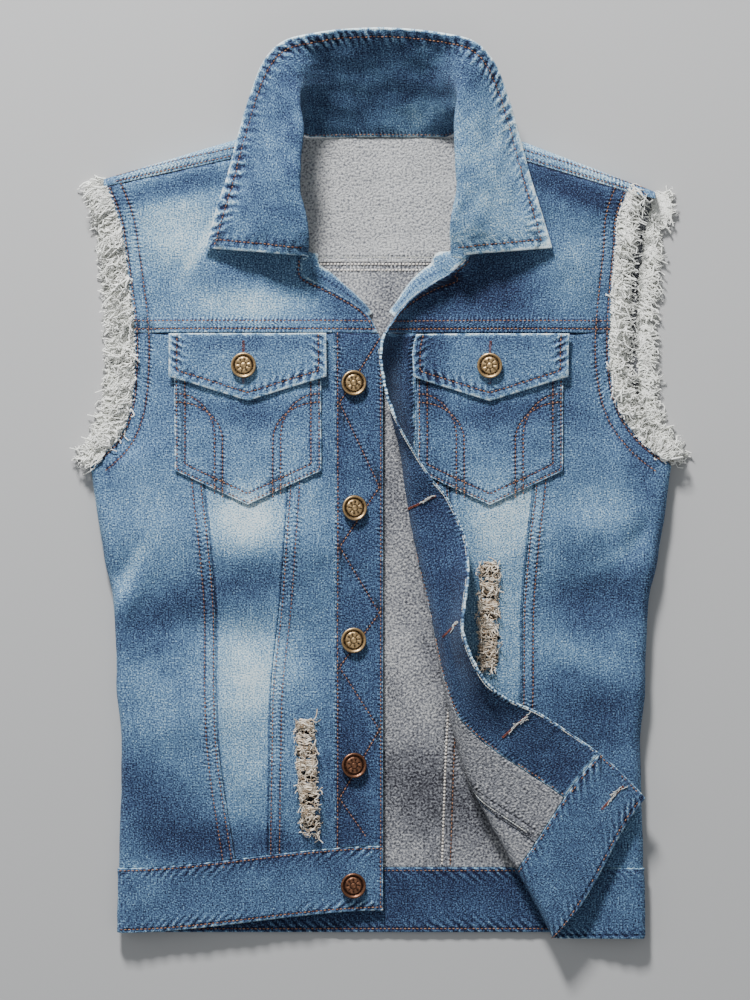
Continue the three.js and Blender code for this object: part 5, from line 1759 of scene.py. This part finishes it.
@dataclass
class VestBack:
    """The back: three panels, the yoke that wraps over the shoulders, and the hem band."""

    pitch: float = 3.4

    def build(self) -> list[ClothPiece]:
        """Builds and dresses the back.

        Returns:
            The cloth pieces.
        """
        self.pieces: list[ClothPiece] = []
        self._panels()
        self._yoke()
        self._band()
        for piece in self.pieces:
            piece.build()
        sew("back", self.pieces)
        return self.pieces

    def _add(self, name: str, cut: Cut, rows: list[SewnRow], base: float, **more: object) -> None:
        """Adds a piece whose wrong side shows."""
        settings = {
            "skins": ("wrong_side", "denim"), "wash": WashAndShade(base, BACK_WASH_AND_SHADE, cloudy=0.07), "slot": "wrong_side",
            "rests_on": (),
        }
        settings.update(more)
        relief = Relief(rows, sum(map(ord, name)), uneven=0.25)
        self.pieces.append(ClothPiece(name, BACK, cut, relief=relief, **settings))

    def _panels(self) -> None:
        """Cuts the middle and the two side panels."""
        half = SEAM_GAP / 2
        low, high = BAND_TOP_Y + half, BACK_YOKE_Y - half

        def seam(y: Grid) -> Grid:
            """Gives the place of the shaped seam."""
            return BACK_SEAMS(y, "seam")

        def end(y: Grid) -> Grid:
            """Gives the place of the armhole or the side seam."""
            return np.where(y > PIT_Y, ARMHOLE(y, "back"), BACK.side_end(y))

        def panel(start: Callable, stop: Callable, across: Grid) -> Cut:
            """Lays one panel out."""

            def place(us: Grid, uo: Grid, vs: Grid, vo: Grid) -> tuple[Grid, Grid, Grid, Grid]:
                """Places the stations."""
                y = mix(low, high, vs) + vo
                return mix(start(y), stop(y), us) + uo, y, stop(y) - start(y), np.full_like(y, high - low)

            return Cut.of(across, span(high - low, self.pitch), place)

        y = np.linspace(low + 3, high - 2, 90)
        seams = {
            s: [SewnRow(beside(lambda v: s * seam(v), y, s * d), thread=t) for d, t in ((1.8, "cord"), (8.6, "tan"))]
            for s in (-1, 1)
        }
        self._add(
            "back_centre", panel(lambda v: half - seam(v), lambda v: seam(v) - half, span(120, self.pitch)),
            [SewnRow(line((-94, BACK_YOKE_Y - d), (94, BACK_YOKE_Y - d)), draw=0.9, thread="cord") for d in (1.6, 6.4)],
            0.54,
        )
        for sign, side in ((-1, "left"), (1, "right")):
            across = span(150, self.pitch, high_band=9.6 if sign > 0 else 0, low_band=0 if sign > 0 else 9.6)
            if sign > 0:
                cut = panel(lambda v: seam(v) + half, end, across)
            else:
                cut = panel(lambda v: -end(v), lambda v: -seam(v) - half, across)
            rows = seams[sign] + [
                SewnRow(line((sign * 98, BACK_YOKE_Y - d), (sign * 206, BACK_YOKE_Y - d)), draw=0.9, thread="cord")
                for d in (1.6, 6.4)
            ]
            self._add(f"back_side_{side}", cut, rows, 0.54)

    def _yoke(self) -> None:
        """Cuts the yoke, which shows its wrong side at the neck and its right side on the shoulders."""
        half = SEAM_GAP / 2

        def place(us: Grid, uo: Grid, vs: Grid, vo: Grid) -> tuple[Grid, Grid, Grid, Grid]:
            """Places the stations along rows that fan out to the armholes."""
            share = np.clip((us * 2 - 1) + uo / 226, -1, 1)
            nominal = share * 226
            top = BACK.top(nominal) - half
            y = mix(BACK_YOKE_Y + half, top, vs) + vo
            edge = ARMHOLE(np.minimum(y, BACK.fold(nominal)), "back")
            return share * edge, y, 2 * edge, top - BACK_YOKE_Y

        cut = Cut.of(span(452, 2.6), span(115, 2.2), place)
        rows = [SewnRow(line((-206, BACK_YOKE_Y + 4), (206, BACK_YOKE_Y + 4)), pucker=0.3, thread="pale")]
        self._add("back_yoke", cut, rows, 0.85, wash=WashAndShade(0.84, BACK_WASH_AND_SHADE + SHOULDER_WASH))
        self.shoulders = []
        for sign in (-1, 1):
            for d in (2.2, 8.6):
                x = sign * np.linspace(88, 216, 40)
                self.shoulders.append(SewnRow(np.stack([x, BACK.top(x) - d], -1), pucker=0.3))
        self.pieces[-1].relief.rows.extend(SewnRow(r.points, 0.3, shown=False) for r in self.shoulders)
        lines = []
        for row in self.shoulders:
            lines.append(BACK.lifted(row.points[:, 0], row.points[:, 1], -0.3 + 0 * row.points[:, 0]))
        made = STITCHES.make("shoulder_tan_stitches", lines, "tan", {"Pitch": STITCH * MM})
        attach(made, "root")

    def _band(self) -> None:
        """Cuts the double hem band."""

        def place(us: Grid, uo: Grid, vs: Grid, vo: Grid) -> tuple[Grid, Grid, Grid, Grid]:
            """Places the stations."""
            top = BAND_TOP_Y - SEAM_GAP / 2
            y = mix(HEM_Y, top, vs) + vo
            end = BACK.side_end(y)
            return mix(-end, end, us) + uo, y, 2 * end, np.full_like(y, top - HEM_Y)

        cut = Cut.of(span(438, 3.0, 9.6, 9.6), span(53, 2.4), place)
        rows = [SewnRow(line((-205, y), (205, y)), wave=7.8, lean=1.1, reach=8, draw=0.75) for y in (-313.6, -361.2)]
        self._add(
            "hem_band_back", cut, rows, 0.15, thick=DOUBLE_CLOTH, skins=("denim", "denim"), slot="denim",
            wash=WashAndShade(0.17, ((60, -350, 120, 20, 0, 0.06),)), edge_wear=0.7,
        )


# Patches on the back's inner face, in the columns place x and y, half lengths long and short, lie in degrees, and shade
# added: pale faded places, painted shadow where the rolled right front falls across the lower back, painted shade in
# the armholes beside the yoke, and darker over the right side.
BACK_WASH_AND_SHADE = (
    (-10, 150, 90, 40, 0, 0.1), (40, -250, 60, 34, -30, -0.34), (10, -140, 30, 60, 0, 0.1),
    (90, -150, 40, 60, 40, -0.2),
    (150, -60, 60, 140, 0, -0.3), (230, 200, 34, 90, 0, -0.5), (-230, 200, 34, 90, 0, -0.5),
)
SHOULDER_WASH = ((-160, 330, 120, 44, 0, -0.3), (160, 330, 120, 44, 0, -0.36))


@dataclass
class Collar:
    """The collar, which stands at the back and rolls over on to the fronts."""

    def build(self) -> None:
        """Builds and dresses the collar."""
        lay = COLLAR_LAY

        def place(us: Grid, uo: Grid, vs: Grid, vo: Grid) -> tuple[Grid, Grid, Grid, Grid]:
            """Places the stations; across is the depth and along the way from tip to tip."""
            length = lay.length[-1]
            station = np.interp(vs * length + vo, lay.length, lay.stations)
            depth = lay.measure(np.ones_like(station), station)[..., 1]
            share = np.clip(us + uo / depth, 0, 1)
            return share, station, depth, np.full_like(depth, length)

        cut = Cut.of(span(85, 1.9), span(float(lay.length[-1]), 2.0), place)
        length = lay.length[-1]

        def deep(station: Grid) -> Grid:
            """Gives the depth from foot to outer edge."""
            return lay.measure(np.ones_like(station), station)[..., 1]

        s = np.linspace(-8.85, 8.85, 200)
        along = np.interp(s, lay.stations, lay.length)
        outer = np.stack([along, deep(s) - 7.4], -1)
        tips = []
        for sign in (-1, 1):
            at = TIP * sign
            run = 7.4 if sign < 0 else length - 7.4
            top = float(deep(np.array([at * 0.98]))[0]) - 7.4
            tips.append(line((run, 24), (run, top)))
        rows = [SewnRow(outer, pucker=0.6, wave=6.4, lean=0.35, reach=7.0, draw=1.1)]
        rows += [SewnRow(tip, pucker=0.4, wave=6.4, reach=5.0, draw=0.5) for tip in tips]
        rows.append(SewnRow(np.stack([along, np.full_like(along, 2.6)], -1)[40:160], pucker=0.1))
        piece = ClothPiece(
            "collar", CollarSheet(), cut, DOUBLE_CLOTH, -DOUBLE_CLOTH / 2, Relief(rows, 12, 0.55, 26), CollarWashAndShade(0.34),
            skins=("denim", "denim"), rests_on=("front_yoke_left", "front_yoke_right", "back_yoke"), edge_wear=1.7,
            edge_width=1.3,
        )
        piece.build()
        sew("collar", [piece])


class CollarSheet(CollarLay):
    """The collar as a sheet that is measured across its depth and along its length."""

    def wash_place(self, a: Grid, y: Grid) -> tuple[Grid, Grid]:
        """Gives the length along and the depth from the foot."""
        place = self.measure(a, y)
        return place[..., 0], place[..., 1]

    def place(self, points: Grid) -> tuple[Grid, Grid]:
        """Finds the share and station of places in the cut cloth.

        Args:
            points: Lengths along and depths from the foot.

        Returns:
            The shares and the stations.
        """
        station = np.interp(points[:, 0], self.length, self.stations)
        rows = np.clip(((station + TIP) * PER_STATION).round().astype(int), 0, len(self.stations) - 1)
        share = np.array([np.interp(d, self.depth[r], self.shares) for d, r in zip(points[:, 1], rows)])
        return share, station


@dataclass(frozen=True)
class CollarWashAndShade(WashAndShade):
    """The collar's shade: painted shade keeps it dark inside the neck, where the standing collar shadows itself, with a
    painted patch of light near the foot; the leaves are paler, the left one less so, and a little darker towards the
    foot.
    """

    def __call__(self, x: Grid, y: Grid) -> Grid:
        """Gives the shade at a length along and a depth from the foot."""
        station = np.interp(x, COLLAR_LAY.length, COLLAR_LAY.stations)
        leaf = smooth((5.6 - TIP + np.abs(station)) / 2.4)
        shade = self.base + leaf * np.where(station < 0, 0.08, 0.3) - 0.1 * smooth((30 - y) / 30) * leaf
        # light is a painted patch of light on the inside of the collar near its foot, just right of the middle.
        light = np.exp(-(((station - 1.4) / 1.6) ** 2)) * smooth((26 + 6 * station - y) / 8)
        return shade + 0.2 * light + 0.05 * ripple(x, y, 40, 5) + 0.05 * ripple(x, y, 14, 6)


class Metal(Enum):
    """What a button is made of."""

    BRASS = "brass"
    COPPER = "copper"


@dataclass
class Button:
    """A stamped button: shank, turned-up rim, sunk ring with beads, and a crown with a plain rosette.

    Attributes:
        node: The solid that it stands for.
        side: The front that carries it.
        a: Its distance from the front edge.
        y: Its height along the vest.
        height: The height of the cloth under it.
        finish: Its metal.
        turn: How it is turned, in degrees.
        radius: Its outer radius.
        segments: Steps round it.
    """

    node: str
    side: str
    a: float
    y: float
    height: float
    finish: Metal = Metal.BRASS
    turn: float = 0.0
    radius: float = 10.4
    segments: int = 48

    def build(self) -> None:
        """Builds and dresses the button."""
        r = self.radius
        rings = [
            (0.001, 0.0), (3.4, 0), (3.4, 1.8), (r * 0.90, 1.8), (r * 0.985, 2.3), (r, 2.9), (r * 0.985, 3.7),
            (r * 0.94, 4.15), (r * 0.89, 4.2), (r * 0.84, 3.9), (r * 0.80, 3.2), (r * 0.75, 2.9), (r * 0.70, 2.9),
            (r * 0.66, 3.2), (r * 0.61, 3.7), (r * 0.55, 3.8), (r * 0.48, 3.8), (r * 0.40, 3.8), (r * 0.32, 3.85),
            (r * 0.25, 3.6), (r * 0.20, 3.8), (r * 0.13, 4.2), (0.001, 4.35),
        ]
        angle = np.arange(self.segments) * math.tau / self.segments
        table = np.array(rings)
        radius = table[:, 0][:, None] * np.ones_like(angle)
        z = table[:, 1][:, None] * np.ones_like(angle)
        upper = np.arange(len(rings))[:, None] > 9
        share = radius / r
        beads = 0.22 * np.cos(24 * angle) * np.exp(-(((share - 0.715) / 0.03) ** 2))
        petals = 0.42 * np.cos(8 * angle) * np.exp(-(((share - 0.44) / 0.13) ** 2))
        z = z + np.where(upper, beads + petals, 0)
        hollow = np.exp(-(((share - 0.72) / 0.1) ** 2)) + np.exp(-(((share - 0.245) / 0.04) ** 2))
        recess = np.where(upper, hollow + 1.6 * np.clip(-petals - 0.02, 0, 0.5) / 0.5, 0.25)
        recess = np.where(np.arange(len(rings))[:, None] < 4, 0.9, recess)
        seat = FRONT[self.side].lifted(np.array(self.a), np.array(self.y), np.array(self.height))
        up = FRONT[self.side].normal(np.array(self.a), np.array(self.y))
        right = unit(np.cross(np.array([0, 1, 0]), up))
        ahead = np.cross(up, right)
        turned = angle + math.radians(self.turn)
        points = seat + (radius * np.cos(turned))[..., None] * right + (radius * np.sin(turned))[..., None] * ahead
        points = points + z[..., None] * up
        count, size = table.shape[0], self.segments
        ids = np.arange(count * size).reshape(count, size)
        after = np.roll(ids, -1, axis=1)
        faces = np.stack([ids[:-1], after[:-1], after[1:], ids[1:]], -1).reshape(-1, 4).tolist()
        faces += [ids[0][::-1].tolist(), ids[-1].tolist()]
        mesh = bpy.data.meshes.new(self.node + "_metal")
        mesh.from_pydata((points.reshape(-1, 3) * MM).tolist(), [], faces)
        mesh.attributes.new("recess", "FLOAT", "POINT").data.foreach_set("value", recess.ravel().astype(np.float32))
        mesh.polygons.foreach_set("use_smooth", np.ones(len(faces), dtype=bool))
        mesh.materials.append(FINISHES[self.finish.value].material())
        piece = bpy.data.objects.new(mesh.name, mesh)
        bpy.context.collection.objects.link(piece)
        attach(piece, "root")
        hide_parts(self.node)
        log.info("%s: %d faces", piece.name, len(faces))


@dataclass
class Buttonhole:
    """A worked hole: close stitches round a slit.

    Attributes:
        side: The front that it is in.
        start: One end of the slit.
        end: The other end.
        low: Height of the cloth's face there.
        inner: Whether it shows on the inner face.
        bar: Half width of the worked border.
    """

    side: str
    start: tuple[float, float]
    end: tuple[float, float]
    low: float
    inner: bool = True
    bar: float = 1.15

    def line(self) -> Grid:
        """Draws the thread to and fro round the slit.

        Returns:
            The thread's line in space.
        """
        start, end = np.array(self.start), np.array(self.end)
        way = end - start
        length = float(np.linalg.norm(way))
        way = way / length
        across = np.array([-way[1], way[0]])
        points = []
        for side in (1, -1):
            count = int(length / 0.45)
            for k in range(count + 1):
                t = k * 0.45 if side > 0 else length - k * 0.45
                out = 0.25 if k % 2 else self.bar
                points.append(start + way * t + across * side * out)
            turn = end if side > 0 else start
            for angle in np.linspace(0, math.pi, 9)[1:-1]:
                out = self.bar if int(angle * 10) % 2 else 0.4
                points.append(turn + side * (across * math.cos(angle) + way * math.sin(angle)) * out)
        flat = np.array(points)
        height = np.full(len(flat), self.low + (-0.25 if self.inner else 0.25))
        return FRONT[self.side].lifted(flat[:, 0], flat[:, 1], height)

    def ends(self) -> Lines:
        """Draws the fluffy thread ends at one end of the slit.

        Returns:
            Lines in space.
        """
        rng = np.random.default_rng(int(abs(self.start[1])) + 3)
        start, end = np.array(self.start), np.array(self.end)
        found = []
        for _ in range(8 if self.inner else 0):
            t = np.linspace(0, 1, 12)[:, None]
            root = mix(start, end, rng.uniform(0.0, 0.55))
            reach = rng.uniform(5, 11)
            flat = root + (end - start) / np.linalg.norm(end - start) * t * reach * rng.choice([-0.5, 1])
            flat = flat + np.cumsum(rng.normal(0, 0.45, (12, 2)), axis=0)
            height = self.low + (-0.6 if self.inner else 0.6) * np.ones(12)
            found.append(FRONT[self.side].lifted(flat[:, 0], flat[:, 1], height))
        return found


@dataclass
class FrayedEdge:
    """Loose threads along a raw armhole edge.

    Attributes:
        node: The solid that they stand for.
        side: left or right.
        back: Whether the edge is the back's.
    """

    node: str
    side: str
    back: bool

    def build(self) -> None:
        """Grows the fine threads and the thicker yarns."""
        surface = BACK if self.back else FRONT[self.side]
        sign = -1 if self.back and self.side == "left" else 1
        edge = (lambda y: sign * ARMHOLE(y, "back")) if self.back else (lambda y: ARMHOLE(y, self.side))
        top = 262 if self.back else 247
        y = np.linspace(23, top, 90)
        lines, ways = [], []
        for depth, height in ((0.1, 0.25), (0.1, 0.9)):
            root, out = beside(edge, y, sign * depth), beside(edge, y, sign * (depth + 1))
            start = surface.lifted(root[:, 0], root[:, 1], np.full_like(y, height))
            end = surface.lifted(out[:, 0], out[:, 1], np.full_like(y, height))
            lines.append(start)
            ways.append(unit((end - start) * np.array([1, 1, 0.3])))
        floor, ceiling, sag = (0.0004, 0.0032, 0.001) if self.back else (0.0045, 0.0125, 0.003)
        common = {"Floor": floor, "Ceiling": ceiling, "Sag": sag, "Seed": 5 + 2 * self.back + (self.side == "left")}
        size = {
            "Spacing": 0.0004, "Thickness": 0.00112, "Shortest": 0.006, "Longest": 0.018 if self.back else 0.021,
            "Curl": 0.008, "Lean": 0.35, "Tuft": 3.4, "Comb": 0.45,
        }
        fine = FRINGE.make(f"{self.node}_threads", lines, "raw", {**common, **size}, ways)
        size.update({"Spacing": 0.0013, "Thickness": 0.0017, "Longest": 0.012, "Curl": 0.011, "Scatter": 0.002})
        yarns = FRINGE.make(f"{self.node}_yarns", lines, "raw", {**common, **size}, ways)
        for piece in (fine, yarns):
            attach(piece, "root")
            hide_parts(self.node)


@dataclass
class Studio:
    """Pale floor, soft lights and the camera over the vest."""

    middle: tuple[float, float] = (-4.92, -9.84)
    height: float = 5.2
    view: float = 0.820

    def build(self) -> None:
        """Sets the studio up."""
        bpy.ops.mesh.primitive_plane_add(size=9, location=(0, 0, -0.0012))
        floor = bpy.context.object
        floor.name = "studio_floor"
        paint = bpy.data.materials.new("studio_floor")
        paint.use_nodes = True
        shader = paint.node_tree.nodes["Principled BSDF"]
        shader.inputs["Base Color"].default_value = (0.46, 0.46, 0.46, 1)
        shader.inputs["Roughness"].default_value = 0.9
        floor.data.materials.append(paint)
        world = bpy.context.scene.world or bpy.data.worlds.new("studio")
        bpy.context.scene.world = world
        world.use_nodes = True
        sky = world.node_tree.nodes["Background"]
        sky.inputs[0].default_value = (0.9, 0.95, 1.0, 1)
        sky.inputs[1].default_value = 0.3
        self._light("key", (-0.6, 2.4, 1.34), 0.45, 172)
        self._light("fill", (1.2, -1.4, 2.2), 2.2, 8)
        self._light("side", (-2.2, 0.4, 1.2), 1.6, 8)
        camera = bpy.data.cameras.new("camera")
        camera.sensor_fit = "VERTICAL"
        camera.sensor_height = 36
        camera.sensor_width = 27
        camera.lens = 36 * self.height / self.view
        camera.clip_end = 50
        placed = bpy.data.objects.new("camera", camera)
        placed.location = (self.middle[0] * MM, self.middle[1] * MM, self.height)
        bpy.context.collection.objects.link(placed)
        bpy.context.scene.camera = placed

    @staticmethod
    def _light(name: str, place: tuple[float, float, float], size: float, power: float) -> None:
        """Adds a soft square light that points at the vest."""
        lamp = bpy.data.lights.new(name, "AREA")
        lamp.size = size
        lamp.energy = power
        made = bpy.data.objects.new(name, lamp)
        made.location = place
        way = np.array(place)
        made.rotation_euler = (
            math.atan2(math.hypot(way[0], way[1]), way[2]), 0, math.atan2(way[1], way[0]) + math.pi / 2,
        )
        bpy.context.collection.objects.link(made)


def make_buttons() -> None:
    """Builds the five front buttons and the two flap buttons."""
    for k, y in enumerate((86, -16.4, -124.6, -227, -325.5)):
        finish = Metal.COPPER if k > 2 else Metal.BRASS
        Button(f"front_button_{k + 1}", "left", 24.6, y, DOUBLE_CLOTH + SEAM_GAP, finish, 17 * k).build()
    flap = CLOTH + FELL_RISE + LAYER_GAP + PATCH_CLOTH + LAYER_GAP + DOUBLE_CLOTH + SEAM_GAP
    Button("flap_button_left", "left", 114, 100, flap, turn=9).build()
    Button("flap_button_right", "right", 110.6, 100, flap, turn=31).build()


def make_buttonholes() -> None:
    """Works the buttonholes of the placket and of the flaps."""
    holes = [Buttonhole("right", (8, y), (34, y), 0.0, bar=0.75) for y in (-16.4, -124.6, -227, -325.5)]
    top = CLOTH + FELL_RISE + LAYER_GAP + PATCH_CLOTH + LAYER_GAP + DOUBLE_CLOTH
    for side, a in (("left", 114), ("right", 110.6)):
        holes.append(Buttonhole(side, (a, 86), (a, 119), top, inner=False, bar=0.8))
    worked = CORDS.make("buttonhole_threads", [hole.line() for hole in holes], "rust", {"Thickness": 0.00055})
    ends = [end for hole in holes for end in hole.ends()]
    loose = CORDS.make("buttonhole_loose_ends", ends, "pale", {"Thickness": 0.0007})
    for made in (worked, loose):
        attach(made, "root")


def main() -> None:
    """Builds the vest's pieces in order and the studio round them."""
    logging.basicConfig(level=logging.INFO, format="%(name)s: %(message)s")
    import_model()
    Studio().build()
    VestBack().build()
    for side in FRONT:
        VestFront(side).build()
        TORN[side].threads()
    Collar().build()
    make_buttons()
    make_buttonholes()
    for side in FRONT:
        FrayedEdge(f"fray_front_{side}", side, False).build()
        FrayedEdge(f"fray_back_{side}", side, True).build()


if __name__ == "__main__":
    main()
